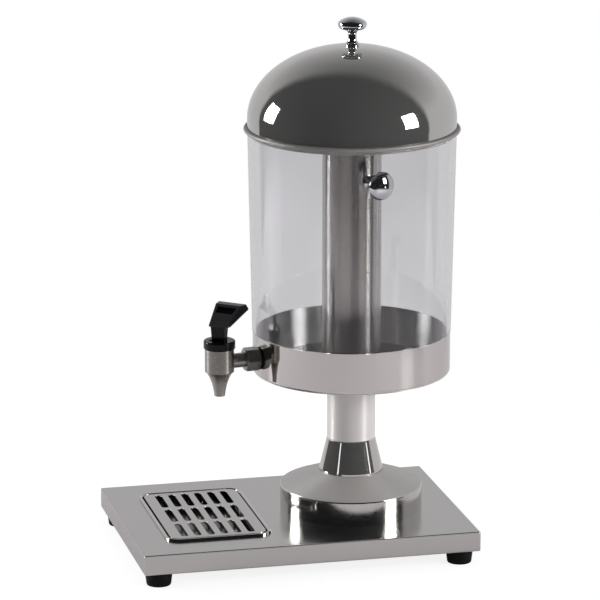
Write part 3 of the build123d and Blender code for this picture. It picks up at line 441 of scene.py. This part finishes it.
def bare_finish(name):
    """A new material with a Principled shader: the material, its tree, the shader and the coordinates."""
    material, tree = empty_material(name)
    shader = add_node(tree, "ShaderNodeBsdfPrincipled")
    add_node(tree, "ShaderNodeOutputMaterial", {"Surface": shader.outputs[0]})
    place = add_node(tree, "ShaderNodeTexCoord").outputs["Object"]
    return material, tree, shader, place


def off_axis(tree, place, axis):
    """The level step from an upright axis to a point."""
    level = add_node(tree, "ShaderNodeVectorMath", {0: place, 1: (1, 1, 0)}, operation="MULTIPLY").outputs[0]
    return add_node(tree, "ShaderNodeVectorMath", {0: level, 1: axis}, operation="SUBTRACT").outputs[0]


def radius_of(tree, place, axis):
    """A point's distance from an upright axis."""
    step = off_axis(tree, place, axis)
    return add_node(tree, "ShaderNodeVectorMath", {0: step}, operation="LENGTH").outputs["Value"]


def height_of(tree, place):
    """A point's height over the floor."""
    return add_node(tree, "ShaderNodeSeparateXYZ", {0: place}).outputs["Z"]


def past(tree, value, edge, soft):
    """A mask that goes from 0 to 1 where a value passes an edge, or from 1 to 0 if soft is negative."""
    span = {"Value": value, "From Min": edge - soft, "From Max": edge + soft}
    return add_node(tree, "ShaderNodeMapRange", span, interpolation_type="SMOOTHSTEP").outputs[0]


print("tank axis at y", TANK_AXIS[1], "m, tap axis at", [round(x, 4) for x in TAP_AXIS[:2]], "m")

# %% [markdown]
# ### Stainless steel
# The sheet parts are stainless steel. A spun or drawn shell is polished to a mirror on a wheel, which leaves
# a faint haze and a slow waviness in the sheet, so straight reflections wobble a little. Where the wheel
# doesn't reach, or where a mirror would show every finger mark, the steel is left satin, with fine grain
# lines that run round a spun part and along a flat one. The lines smear a reflection across themselves and
# not along themselves: on the ice tube each soft box becomes one upright streak. That is what a shader's
# anisotropy is for, with the tangent laid round the axis and turned by a quarter. One function makes every
# finish, and a mask says where the satin is.

# %% Grain
GRAIN_ACROSS = 0.8  # real grain is about 0.05 mm, which wouldn't show
GRAIN_ALONG = 45.0
ARCS_PER_RADIAN = 4.0
NOISE_LOW = 0.3  # most of a noise's values lie between these two
NOISE_HIGH = 0.7


def round_grain(tree, place, axis):
    """Coordinates for grain that runs round an upright axis, in arcs of some length."""
    step = add_node(tree, "ShaderNodeSeparateXYZ", {0: off_axis(tree, place, axis)}).outputs
    turn = add_node(tree, "ShaderNodeMath", {0: step["Y"], 1: step["X"]}, operation="ARCTAN2").outputs[0]
    across = {0: radius_of(tree, place, axis), 2: height_of(tree, place)}
    across = add_node(tree, "ShaderNodeCombineXYZ", across).outputs[0]
    fine = {0: across, 1: (per_mm(GRAIN_ACROSS), 0, per_mm(GRAIN_ACROSS))}
    fine = add_node(tree, "ShaderNodeVectorMath", fine, operation="MULTIPLY").outputs[0]
    arcs = add_node(tree, "ShaderNodeMath", {0: turn, 1: ARCS_PER_RADIAN}, operation="MULTIPLY").outputs[0]
    arcs = add_node(tree, "ShaderNodeCombineXYZ", {1: arcs}).outputs[0]
    return add_node(tree, "ShaderNodeVectorMath", {0: fine, 1: arcs}, operation="ADD").outputs[0]


def long_grain(tree, place):
    """Coordinates for grain that runs along the base plate."""
    stretch = (per_mm(GRAIN_ACROSS), per_mm(GRAIN_ALONG), per_mm(GRAIN_ACROSS))
    return add_node(tree, "ShaderNodeVectorMath", {0: place, 1: stretch}, operation="MULTIPLY").outputs[0]


def varied(tree, noise, middle, share):
    """A roughness that a noise varies by a share of its middle value."""
    span = {"Value": noise, "From Min": NOISE_LOW, "From Max": NOISE_HIGH}
    span["To Min"] = middle * (1 - share)
    span["To Max"] = middle * (1 + share)
    return add_node(tree, "ShaderNodeMapRange", span).outputs[0]


print("grain lines", GRAIN_ACROSS, "mm apart")

# %% Bare metal, polished or satin
HAZE_SIZE = 3.0
HAZE_SHARE = 0.3
WAVE_SIZE = 70.0
WAVE_HEIGHT = 0.012
GRAIN_HEIGHT = 0.0003
GRAIN_SHARE = 0.15
QUARTER_TURN = 0.25


def steel(
    name, colour, polish=0.0, haze=0.0, satin=0.0, smear=0.0, axis=None, where=None, bloom=0.0, pale=None
):
    """Bare metal, polished or satin, or satin only where a mask says.

    polish and satin are the roughness of the two surfaces. haze and bloom are the shares of light that they
    scatter without a mirror. Grain runs round an axis or along the base plate, smear is how far it draws
    reflections out, and pale is the satin's colour.
    """
    material, tree, shader, place = bare_finish(name)
    shader.inputs["Base Color"].default_value = srgb(colour)
    shader.inputs["Metallic"].default_value = 1.0 - haze
    if polish:
        cloud = {"Vector": place, "Scale": per_mm(HAZE_SIZE), "Detail": 4.0}
        cloud = add_node(tree, "ShaderNodeTexNoise", cloud).outputs[0]
        roughness = varied(tree, cloud, polish, HAZE_SHARE)
    wave = {"Vector": place, "Scale": per_mm(WAVE_SIZE), "Detail": 1.0}
    wave = add_node(tree, "ShaderNodeTexNoise", wave).outputs[0]
    sheet = {"Height": wave, "Distance": mm(WAVE_HEIGHT), "Strength": 1.0}
    normal = add_node(tree, "ShaderNodeBump", sheet).outputs[0]
    if satin:
        mask = where(tree, place) if where else 1.0
        grain = round_grain(tree, place, axis) if axis else long_grain(tree, place)
        lines = {"Vector": grain, "Scale": 1.0, "Detail": 2.0}
        lines = add_node(tree, "ShaderNodeTexNoise", lines).outputs[0]
        rubbed = varied(tree, lines, satin, GRAIN_SHARE)
        if where:
            rubbed = add_node(tree, "ShaderNodeMix", {0: mask, 2: roughness, 3: rubbed}).outputs[0]
        roughness = rubbed
        scratch = {"Height": lines, "Distance": mm(GRAIN_HEIGHT), "Strength": mask, "Normal": normal}
        normal = add_node(tree, "ShaderNodeBump", scratch).outputs[0]
    if bloom:
        bare = {0: mask, 2: 1.0 - haze, 3: 1.0 - bloom}
        tree.links.new(add_node(tree, "ShaderNodeMix", bare).outputs[0], shader.inputs["Metallic"])
    if pale:
        tint = {0: mask, 6: srgb(colour), 7: srgb(pale)}
        tint = add_node(tree, "ShaderNodeMix", tint, data_type="RGBA").outputs[2]
        tree.links.new(tint, shader.inputs["Base Color"])
    if smear:
        turned = {0: (0, 0, 1), 1: off_axis(tree, place, axis)}
        turned = add_node(tree, "ShaderNodeVectorMath", turned, operation="CROSS_PRODUCT").outputs[0]
        tree.links.new(turned, shader.inputs["Tangent"])
        shader.inputs["Anisotropic"].default_value = smear
        shader.inputs["Anisotropic Rotation"].default_value = QUARTER_TURN
    tree.links.new(roughness, shader.inputs["Roughness"])
    tree.links.new(normal, shader.inputs["Normal"])
    return material


STEEL = "#C3C1BE"
# a sharp mirror, a little dulled by fine haze
mirror_steel = steel("stainless steel, mirror polished", STEEL, polish=0.04)
# a soft mirror, in which what stands close is sharp and what is far off is blurred
brushed_steel = steel("stainless steel, brushed sheet", "#B9B8B5", satin=0.2)
# bright upright streaks, because the grain runs round
tube_steel = steel("stainless steel, tube, satin", "#B9B7B4", satin=0.22, smear=1.0, axis=TANK_AXIS)
# an even grey with hardly a reflection
ring_steel = steel("stainless steel, bead blasted ring", STEEL, polish=0.5, haze=0.6)
# a dull, even shine
plain_steel = steel("stainless steel, drawn bar and screws", "#B4B2AF", polish=0.3)
print("grain", GRAIN_HEIGHT, "mm deep, waves in the sheet", WAVE_HEIGHT, "mm")

# %% [markdown]
# ### Pieces with two surfaces
# The dome, cup, drum, neck and tray are each one sheet with a polished and a satin surface. They could be cut
# in two pieces with a material each, but the CAD meshes stay as they are. A mask in the shader follows a
# height or a radius instead, which is where the wheel stopped on the real part.

# %% Masks
BEAD_INSIDE = 107.4
CUP_INNER_FACE = 101.55
DRUM_TOP_EDGE = 61.0
FLARE_TOP = 111.5
TRAY_RIM_FOOT = 35.2


def on_bead(tree, place):
    """The rolled bead round the lid."""
    return past(tree, radius_of(tree, place, TANK_AXIS), mm(BEAD_INSIDE), soft=mm(0.2))


def inside_cup(tree, place):
    """The inner face of the cup."""
    return past(tree, radius_of(tree, place, TANK_AXIS), mm(CUP_INNER_FACE), soft=mm(-0.1))


def on_drum_top(tree, place):
    """The drum's sloping top, above its rounded edge."""
    return past(tree, height_of(tree, place), mm(DRUM_TOP_EDGE), soft=mm(0.4))


def on_neck_tube(tree, place):
    """The straight part of the neck, above the flare."""
    return past(tree, height_of(tree, place), mm(FLARE_TOP), soft=mm(1.0))


def tray_inside_satin_and_painted_shade(tree, place):
    """The inside of the drip tray, below its rolled rim, where the satin steel is also darkened as painted
    shade.
    """
    return past(tree, height_of(tree, place), mm(TRAY_RIM_FOOT), soft=mm(-0.4))


print("neck polished below", FLARE_TOP, "mm, drum below", DRUM_TOP_EDGE, "mm")

# %% Polished and satin steel
# a dark, slightly milky mirror over a dull grey bead
dome_steel = steel(
    "stainless steel, spun and polished dome", "#BBBAB7", polish=0.04, haze=0.12,
    satin=0.55, axis=TANK_AXIS, where=on_bead, bloom=0.45, pale="#92908D",
)
# a clear mirror outside, and bright upright streaks inside
cup_steel = steel(
    "stainless steel, drawn cup, satin inside", STEEL, polish=0.04,
    satin=0.36, smear=1.0, axis=TANK_AXIS, where=inside_cup, bloom=0.05, pale="#F3F1EF",
)
# a mirror wall under a pale top without reflections
drum_steel = steel(
    "stainless steel, spun drum, satin top", STEEL, polish=0.12,
    satin=0.5, smear=0.6, axis=TANK_AXIS, where=on_drum_top, bloom=0.5, pale="#B2B0AE",
)
# a dark mirror in the flare and a pale, silky tube above it
neck_steel = steel(
    "stainless steel, neck, satin tube", STEEL, polish=0.05, haze=0.12,
    satin=0.42, smear=0.7, axis=TANK_AXIS, where=on_neck_tube, bloom=0.66, pale="#D3D0CE",
)
# a bright rim round a hollow darkened with painted shade under the grille
tray_steel = steel(
    "stainless steel, drawn tray, satin inside, painted shade", STEEL, polish=0.1,
    satin=0.16, axis=TANK_AXIS, where=tray_inside_satin_and_painted_shade, bloom=0.02, pale="#64625E",
)
for finish in (dome_steel, cup_steel, drum_steel, neck_steel, tray_steel):
    print(finish.name, "has", len(finish.node_tree.nodes), "nodes")

# %% [markdown]
# ### Plated parts
# The knobs look like bright chrome plate on turned brass, and are the sharpest mirrors on the object. The tap
# looks like nickel plate on brass, a little softer and warmer, and its barrel keeps the lathe's lines. Plate
# shows the metal's surface under it, so the same function serves, with another colour and polish.

# %% Chrome and nickel
NICKEL = "#989690"
# a mirror as sharp as glass, a trace blue
chrome = steel("chrome plate on turned brass", "#D3D5D7", polish=0.025)
# a soft, warm grey shine on flat faces
nickel = steel("nickel plate on milled brass", NICKEL, polish=0.35, haze=0.1)
# soft upright bands, because the lathe's lines run round
turned_nickel = steel("nickel plate on turned brass", NICKEL, satin=0.3, smear=0.8, axis=TAP_AXIS)
print(chrome.name, "and", nickel.name)

# %% [markdown]
# ### The clear tank
# The tank is taken as clear polycarbonate. Glass would do in a picture, but a moulded wall is never quite
# even: it keeps slow waves where the plastic flowed, which bend what stands behind, and washing leaves a few
# dull patches. The waves are long upwards, as the plastic filled the mould.

# %% Polycarbonate
TANK_IOR = 1.42  # polycarbonate has about 1.58, but this tank's reflections are weaker
FLOW_ACROSS = 40.0
FLOW_ALONG = 160.0
FLOW_DEPTH = 0.05
RUB_SIZE = 12.0
RUB_START = 0.45
RUB_END = 0.8
RUB_ROUGHNESS = 0.02

# nearly unseen, with pale edges and reflections that waver
clear, tree, shader, place = bare_finish("polycarbonate, injection moulded, clear")
shader.inputs["Base Color"].default_value = srgb("#F5F5F6")
shader.inputs["Transmission Weight"].default_value = 1.0
shader.inputs["IOR"].default_value = TANK_IOR
drawn = {0: place, 1: (per_mm(FLOW_ACROSS), per_mm(FLOW_ACROSS), per_mm(FLOW_ALONG))}
drawn = add_node(tree, "ShaderNodeVectorMath", drawn, operation="MULTIPLY").outputs[0]
flow = add_node(tree, "ShaderNodeTexNoise", {"Vector": drawn, "Scale": 1.0, "Detail": 1.0}).outputs[0]
mould = {"Height": flow, "Distance": mm(FLOW_DEPTH), "Strength": 1.0}
tree.links.new(add_node(tree, "ShaderNodeBump", mould).outputs[0], shader.inputs["Normal"])
rub = {"Vector": place, "Scale": per_mm(RUB_SIZE), "Detail": 3.0}
rub = add_node(tree, "ShaderNodeTexNoise", rub).outputs[0]
rub = {"Value": rub, "From Min": RUB_START, "From Max": RUB_END, "To Min": 0.0, "To Max": RUB_ROUGHNESS}
tree.links.new(add_node(tree, "ShaderNodeMapRange", rub).outputs[0], shader.inputs["Roughness"])
print(clear.name, "with waves", FLOW_ACROSS, "mm wide")

# %% [markdown]
# ### Black plastic and rubber
# The tap's cap and lever are taken as black ABS with a fine spark texture, which a mould is given to hide
# scratches. The lever's head gets a painted sheen through a mask: its face is a lighter grey, while the floor
# of its recess stays black as painted shade. The feet and washers are black rubber, duller and softer, and
# the valve's plug is silicone.

# %% A moulded finish
TEXTURE_SHARE = 0.15


def moulded(name, colour, roughness, texture, depth, gloss=0.5, where=None, shade=None):
    """A moulded part with a fine texture of a given size and depth in mm, and another shade in a mask."""
    material, tree, shader, place = bare_finish(name)
    shader.inputs["Base Color"].default_value = srgb(colour)
    if where:
        tint = {0: where(tree, place), 6: srgb(colour), 7: srgb(shade)}
        tint = add_node(tree, "ShaderNodeMix", tint, data_type="RGBA").outputs[2]
        tree.links.new(tint, shader.inputs["Base Color"])
    shader.inputs["Specular IOR Level"].default_value = gloss
    spark = {"Vector": place, "Scale": per_mm(texture), "Detail": 3.0}
    spark = add_node(tree, "ShaderNodeTexNoise", spark).outputs[0]
    tree.links.new(varied(tree, spark, roughness, TEXTURE_SHARE), shader.inputs["Roughness"])
    bump = {"Height": spark, "Distance": mm(depth), "Strength": 1.0}
    tree.links.new(add_node(tree, "ShaderNodeBump", bump).outputs[0], shader.inputs["Normal"])
    return material


# deep black with small, sharp glints
black_abs = moulded(
    "ABS, injection moulded, black", "#060606", roughness=0.16, texture=0.8, depth=0.006, gloss=0.2
)
# a dull black in which the form is hard to see
rubber = moulded(
    "nitrile rubber, moulded, black", "#070707", roughness=0.55, texture=0.6, depth=0.02, gloss=0.15
)
# milky and soft
silicone = moulded("silicone rubber, moulded, pale", "#D9D7D1", roughness=0.45, texture=0.8, depth=0.01)
print(black_abs.name, "and", rubber.name)

# %% The lever's head, with painted sheen
FACE_PLACE = (mm(24.292), mm(-79.127), mm(243.6))
HEAD_BOTTOM = 242.0
# the sides of the recess: across the face, down the face and into it, each with its first and last mm
RECESS = (
    ((0.64279, 0.76604, 0.0), -10.6, 10.6),
    ((-0.63585, 0.53355, 0.55769), 18.2, 27.7),
    ((0.42721, -0.35848, 0.83005), -3.2, -1.0),
)
RECESS_SOFTNESS = mm(0.3)


def head_painted_sheen(tree, place):
    """Painted sheen: the lever's head without the floor of its recess, in a frame laid on the head's face."""
    step = add_node(tree, "ShaderNodeVectorMath", {0: place, 1: FACE_PLACE}, operation="SUBTRACT").outputs[0]
    recess = past(tree, height_of(tree, place), mm(HEAD_BOTTOM), RECESS_SOFTNESS)
    head = recess
    for side, first, last in RECESS:
        along = add_node(tree, "ShaderNodeVectorMath", {0: step, 1: side}, operation="DOT_PRODUCT")
        for edge, soft in ((first, RECESS_SOFTNESS), (last, -RECESS_SOFTNESS)):
            inside = {0: recess, 1: past(tree, along.outputs["Value"], mm(edge), soft)}
            recess = add_node(tree, "ShaderNodeMath", inside, operation="MULTIPLY").outputs[0]
    return add_node(tree, "ShaderNodeMath", {0: head, 1: recess}, operation="SUBTRACT").outputs[0]


# the same black, with a painted grey sheen on the head's face and painted shade in its recess
lever_abs = moulded(
    "ABS, injection moulded, black, painted sheen on head", "#060606", roughness=0.2, texture=0.8, depth=0.006, gloss=0.2,
    where=head_painted_sheen, shade="#2C2C2F",
)
print(lever_abs.name, "has", len(lever_abs.node_tree.nodes), "nodes")

# %% [markdown]
# ## Pieces that follow a rule
# The grille's eighteen slots and the four feet repeat, and the spring follows a spiral, so each is one
# Geometry Nodes tree with its sizes as named inputs. A tree starts from an empty mesh or from a profile, and
# its result is turned to a plain mesh, because instances and live modifiers don't survive an export.

# %% Growing a mesh from a rule
MERGE = mm(0.001)
SHARP = math.radians(50)


def new_rule(name, sizes):
    """An empty Geometry Nodes tree with a named input for each size: the tree and its inputs."""
    tree = bpy.data.node_groups.new(name, "GeometryNodeTree")
    tree.interface.new_socket("Geometry", in_out="INPUT", socket_type="NodeSocketGeometry")
    for size, value in sizes.items():
        kind = "Float"
        if isinstance(value, int):
            kind = "Int"
        if isinstance(value, bpy.types.Material):
            kind = "Material"
        tree.interface.new_socket(size, in_out="INPUT", socket_type="NodeSocket" + kind)
    tree.interface.new_socket("Geometry", in_out="OUTPUT", socket_type="NodeSocketGeometry")
    return tree, add_node(tree, "NodeGroupInput").outputs


def end_rule(tree, result, material):
    """Ends a tree: instances become real, and the result gets its material."""
    real = add_node(tree, "GeometryNodeRealizeInstances", {0: result}).outputs[0]
    dressed = {"Geometry": real, "Material": material}
    dressed = add_node(tree, "GeometryNodeSetMaterial", dressed).outputs[0]
    add_node(tree, "NodeGroupOutput", {0: dressed})


def grown(name, start, tree, sizes, finish=None):
    """The plain mesh that a rule makes from a starting mesh, after a finishing modifier's settings."""
    seedling = add_object(name + ".rule", start)
    rule = seedling.modifiers.new("rule", "NODES")
    rule.node_group = tree
    for socket in tree.interface.items_tree:
        if socket.in_out == "INPUT" and socket.name in sizes:
            rule[socket.identifier] = sizes[socket.name]
    if finish:
        kind, settings = finish
        modifier = seedling.modifiers.new("finish", kind)
        for setting, value in settings.items():
            setattr(modifier, setting, value)
    evaluated = seedling.evaluated_get(bpy.context.evaluated_depsgraph_get())
    mesh = bpy.data.meshes.new_from_object(evaluated)
    bpy.data.objects.remove(seedling)
    mesh.name = name
    return mesh


print("points closer than", MERGE, "m become one")

# %% [markdown]
# ### The slotted grille
# A punched steel sheet lies on two bars over the drip tray. Cutting slots with booleans would be slow and
# leaves ragged edges. Instead the outline and the slots are drawn as curves, filled in one go, and given the
# sheet's thickness. A small bevel stands for the edge that tumbling leaves after the punch.

# %% Grille: sizes and curves
grille_low, grille_high = (Vector(corner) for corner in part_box("drip_grille"))
grille_sizes = {
    "Length": grille_high.x - grille_low.x,
    "Width": grille_high.y - grille_low.y,
    "Corner": mm(9.8),
    "Sheet": grille_high.z - grille_low.z,
    "Slot length": mm(43.0),
    "Slot width": mm(7.2),
    "Row pitch": mm(50.0),
    "Slot pitch": mm(13.9),
    "Rows": 3,
    "Slots": 6,
    "Material": brushed_steel,
}
HALF = 0.499  # a shade under one half, so that a slot's round end keeps its two sides apart
tree, given = new_rule("punched sheet", grille_sizes)
edge = {"Width": given["Length"], "Height": given["Width"]}
edge = add_node(tree, "GeometryNodeCurvePrimitiveQuadrilateral", edge).outputs[0]
edge = {"Curve": edge, "Radius": given["Corner"], "Count": 10}
edge = add_node(tree, "GeometryNodeFilletCurve", edge, mode="POLY").outputs[0]
slot = {"Width": given["Slot length"], "Height": given["Slot width"]}
slot = add_node(tree, "GeometryNodeCurvePrimitiveQuadrilateral", slot).outputs[0]
end = add_node(tree, "ShaderNodeMath", {0: given["Slot width"], 1: HALF}, operation="MULTIPLY").outputs[0]
slot = {"Curve": slot, "Radius": end, "Count": 8}
slot = add_node(tree, "GeometryNodeFilletCurve", slot, mode="POLY").outputs[0]
print("grille", [round(1000 * grille_sizes[size], 1) for size in ("Length", "Width", "Sheet")], "mm")

# %% Grille: slots in rows, filled and given a thickness
gaps = [
    add_node(tree, "ShaderNodeMath", {0: given[count], 1: 1.0}, operation="SUBTRACT").outputs[0]
    for count in ("Rows", "Slots")
]
spans = [
    add_node(tree, "ShaderNodeMath", {0: gap, 1: given[pitch]}, operation="MULTIPLY").outputs[0]
    for gap, pitch in zip(gaps, ("Row pitch", "Slot pitch"))
]
places = {"Size X": spans[0], "Size Y": spans[1], "Vertices X": given["Rows"], "Vertices Y": given["Slots"]}
places = add_node(tree, "GeometryNodeMeshGrid", places).outputs[0]
slots = add_node(tree, "GeometryNodeInstanceOnPoints", {"Points": places, "Instance": slot}).outputs[0]
slots = add_node(tree, "GeometryNodeRealizeInstances", {0: slots}).outputs[0]
lines = add_node(tree, "GeometryNodeJoinGeometry")
tree.links.new(edge, lines.inputs[0])
tree.links.new(slots, lines.inputs[0])
flat = add_node(tree, "GeometryNodeFillCurve", {0: lines.outputs[0]}, mode="TRIANGLES").outputs[0]
thick = {"Mesh": flat, "Offset Scale": given["Sheet"], "Individual": False}
thick = add_node(tree, "GeometryNodeExtrudeMesh", thick).outputs[0]
under = add_node(tree, "GeometryNodeFlipFaces", {0: flat}).outputs[0]
closed = add_node(tree, "GeometryNodeJoinGeometry")
tree.links.new(thick, closed.inputs[0])
tree.links.new(under, closed.inputs[0])
closed = {"Geometry": closed.outputs[0], "Distance": MERGE}
closed = add_node(tree, "GeometryNodeMergeByDistance", closed).outputs[0]
end_rule(tree, closed, given["Material"])
print("grille rule of", len(tree.nodes), "nodes")

# %% Grille: the piece
tumbled = {"width": mm(0.25), "segments": 2, "limit_method": "ANGLE", "angle_limit": math.radians(40)}
mesh = grown("slotted_grille", bpy.data.meshes.new("nothing"), tree, grille_sizes, ("BEVEL", tumbled))
middle = (grille_low + grille_high) / 2
for vertex in mesh.vertices:
    vertex.co += Vector((middle.x, middle.y, grille_low.z))
grille = add_object("slotted_grille", mesh)
plate_only.objects.link(grille)
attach(grille, "drip_grille")
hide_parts("drip_grille")
print("grille of", len(mesh.polygons), "faces")

# %% [markdown]
# ### The feet
# Four moulded rubber feet carry the base. A foot is a solid of revolution, so its profile, from the screw
# hole out over the rim and down to the sole, is turned round: a grid gets one column for each point of the
# profile, and each row is that profile swung a little further. The result is placed at the four corners.

# %% Feet: profile and sizes
FOOT_PROFILE = (
    (2.5, 15.0), (13.6, 15.0), (14.0, 14.8), (14.15, 14.4), (12.55, 1.3), (12.3, 0.7), (11.9, 0.25),
    (11.2, 0.0), (6.0, 0.0), (5.2, 0.3), (5.2, 8.0), (2.5, 8.0), (2.5, 15.0),
)
profile = bpy.data.meshes.new("foot profile")
steps = [(i, i + 1) for i in range(len(FOOT_PROFILE) - 1)]
profile.from_pydata([(mm(r), 0, mm(z)) for r, z in FOOT_PROFILE], steps, [])
foot_boxes = [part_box(f"foot_{end}_{hand}") for end in ("front", "rear") for hand in ("left", "right")]
foot_middles = [(Vector(low) + Vector(high)) / 2 for low, high in foot_boxes]
foot_sizes = {
    "Segments": 48,
    "Apart across": foot_middles[1].x - foot_middles[0].x,
    "Apart along": foot_middles[2].y - foot_middles[0].y,
    "Material": rubber,
}
print("feet", [round(foot_sizes[size], 4) for size in ("Apart across", "Apart along")], "m apart")

# %% Feet: a profile turned round and placed four times
tree, given = new_rule("turned feet", foot_sizes)
count = add_node(tree, "GeometryNodeAttributeDomainSize", {0: given["Geometry"]}).outputs["Point Count"]
around = add_node(tree, "ShaderNodeMath", {0: given["Segments"], 1: 1.0}, operation="ADD").outputs[0]
net = add_node(tree, "GeometryNodeMeshGrid", {"Vertices X": count, "Vertices Y": around}).outputs[0]
index = add_node(tree, "GeometryNodeInputIndex").outputs[0]
ratio = add_node(tree, "ShaderNodeMath", {0: index, 1: around}, operation="DIVIDE").outputs[0]
column = add_node(tree, "ShaderNodeMath", {0: ratio}, operation="FLOOR").outputs[0]
row = add_node(tree, "ShaderNodeMath", {0: index, 1: around}, operation="MODULO").outputs[0]
spot = add_node(tree, "GeometryNodeInputPosition").outputs[0]
point = {"Geometry": given["Geometry"], "Value": spot, "Index": column}
point = add_node(tree, "GeometryNodeSampleIndex", point, data_type="FLOAT_VECTOR", domain="POINT").outputs[0]
share = add_node(tree, "ShaderNodeMath", {0: row, 1: given["Segments"]}, operation="DIVIDE").outputs[0]
turn = add_node(tree, "ShaderNodeMath", {0: share, 1: math.tau}, operation="MULTIPLY").outputs[0]
swung = {"Vector": point, "Angle": turn}
swung = add_node(tree, "ShaderNodeVectorRotate", swung, rotation_type="Z_AXIS").outputs[0]
foot = add_node(tree, "GeometryNodeSetPosition", {"Geometry": net, "Position": swung}).outputs[0]
foot = add_node(tree, "GeometryNodeMergeByDistance", {"Geometry": foot, "Distance": MERGE}).outputs[0]
spread = {"Size X": given["Apart across"], "Size Y": given["Apart along"], "Vertices X": 2, "Vertices Y": 2}
spread = add_node(tree, "GeometryNodeMeshGrid", spread).outputs[0]
feet = add_node(tree, "GeometryNodeInstanceOnPoints", {"Points": spread, "Instance": foot}).outputs[0]
end_rule(tree, feet, given["Material"])
print("feet rule of", len(tree.nodes), "nodes")

# %% Feet: the piece
mesh = grown("rubber_feet", profile, tree, foot_sizes)
mesh.shade_smooth()
mesh.set_sharp_from_angle(angle=SHARP)
feet = add_object("rubber_feet", mesh)
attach(feet, "dispenser")
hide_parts("foot_front_left", "foot_front_right", "foot_rear_left", "foot_rear_right")
print("feet of", len(mesh.polygons), "faces")

# %% [markdown]
# ### The return spring
# A coil spring inside the tap shuts it when the lever is let go: the lever pulls the plunger up, and the coil
# is pressed together under the bonnet. It doesn't show. Bending a wire by hand would take many points, while
# a spiral curve with a round section needs four sizes. The CAD coil is rigid, so this one stands for it.

# %% Spring: a round wire along a spiral
WIRE = mm(0.55)
spring_low, spring_high = (Vector(corner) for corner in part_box("return_spring"))
spring_sizes = {
    "Turns": 5.0,
    "Coil radius": mm(4.9),
    "Wire radius": WIRE,
    "Height": spring_high.z - spring_low.z - 2 * WIRE,
    "Material": plain_steel,
}
tree, given = new_rule("coil", spring_sizes)
coil = {"Resolution": 32, "Rotations": given["Turns"], "Height": given["Height"]}
coil["Start Radius"] = given["Coil radius"]
coil["End Radius"] = given["Coil radius"]
coil = add_node(tree, "GeometryNodeCurveSpiral", coil).outputs[0]
section = {"Resolution": 12, "Radius": given["Wire radius"]}
section = add_node(tree, "GeometryNodeCurvePrimitiveCircle", section).outputs[0]
wire = {"Curve": coil, "Profile Curve": section, "Fill Caps": True}
wire = add_node(tree, "GeometryNodeCurveToMesh", wire).outputs[0]
end_rule(tree, wire, given["Material"])
print("coil", round(1000 * spring_sizes["Height"], 1), "mm high")

# %% Spring: the piece
mesh = grown("coil_spring", bpy.data.meshes.new("nothing"), tree, spring_sizes)
for vertex in mesh.vertices:
    vertex.co += Vector((TAP_AXIS[0], TAP_AXIS[1], spring_low.z + WIRE))
mesh.shade_smooth()
mesh.set_sharp_from_angle(angle=SHARP)
spring = add_object("coil_spring", mesh)
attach(spring, "dispenser")
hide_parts("return_spring")
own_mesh(spring)

# %% [markdown]
# ## Dress the CAD pieces
# A CAD node already has its true shape and smooth normals, so it keeps its mesh and only gets a finish: its
# own where it has one, and otherwise that of its material slot in the record.

# %% Give each node its finish
finish_of = {
    "base_plate": brushed_steel,
    "lid_dome": dome_steel,
    "lid_ring": ring_steel,
    "drip_tray": tray_steel,
    "tank_cup": cup_steel,
    "pedestal_drum": drum_steel,
    "pedestal_neck": neck_steel,
    "ice_tube": tube_steel,
    "lid_knob": chrome,
    "ice_tube_knob": chrome,
    "tap_body": turned_nickel,
    "tap_lever": lever_abs,
}
finish_of_slot = {
    "polished_steel": mirror_steel,
    "chrome": nickel,
    "plain_steel": plain_steel,
    "clear_plastic": clear,
    "black_rubber": rubber,
    "pale_silicone": silicone,
    "black_plastic": black_abs,
}
for subpart in frame["record"]["subparts"]:
    name = subpart["node"]
    mesh = nodes[name].data
    mesh.materials.clear()
    mesh.materials.append(finish_of.get(name, finish_of_slot[subpart["material_slot"]]))
print(len(nodes), "nodes dressed")
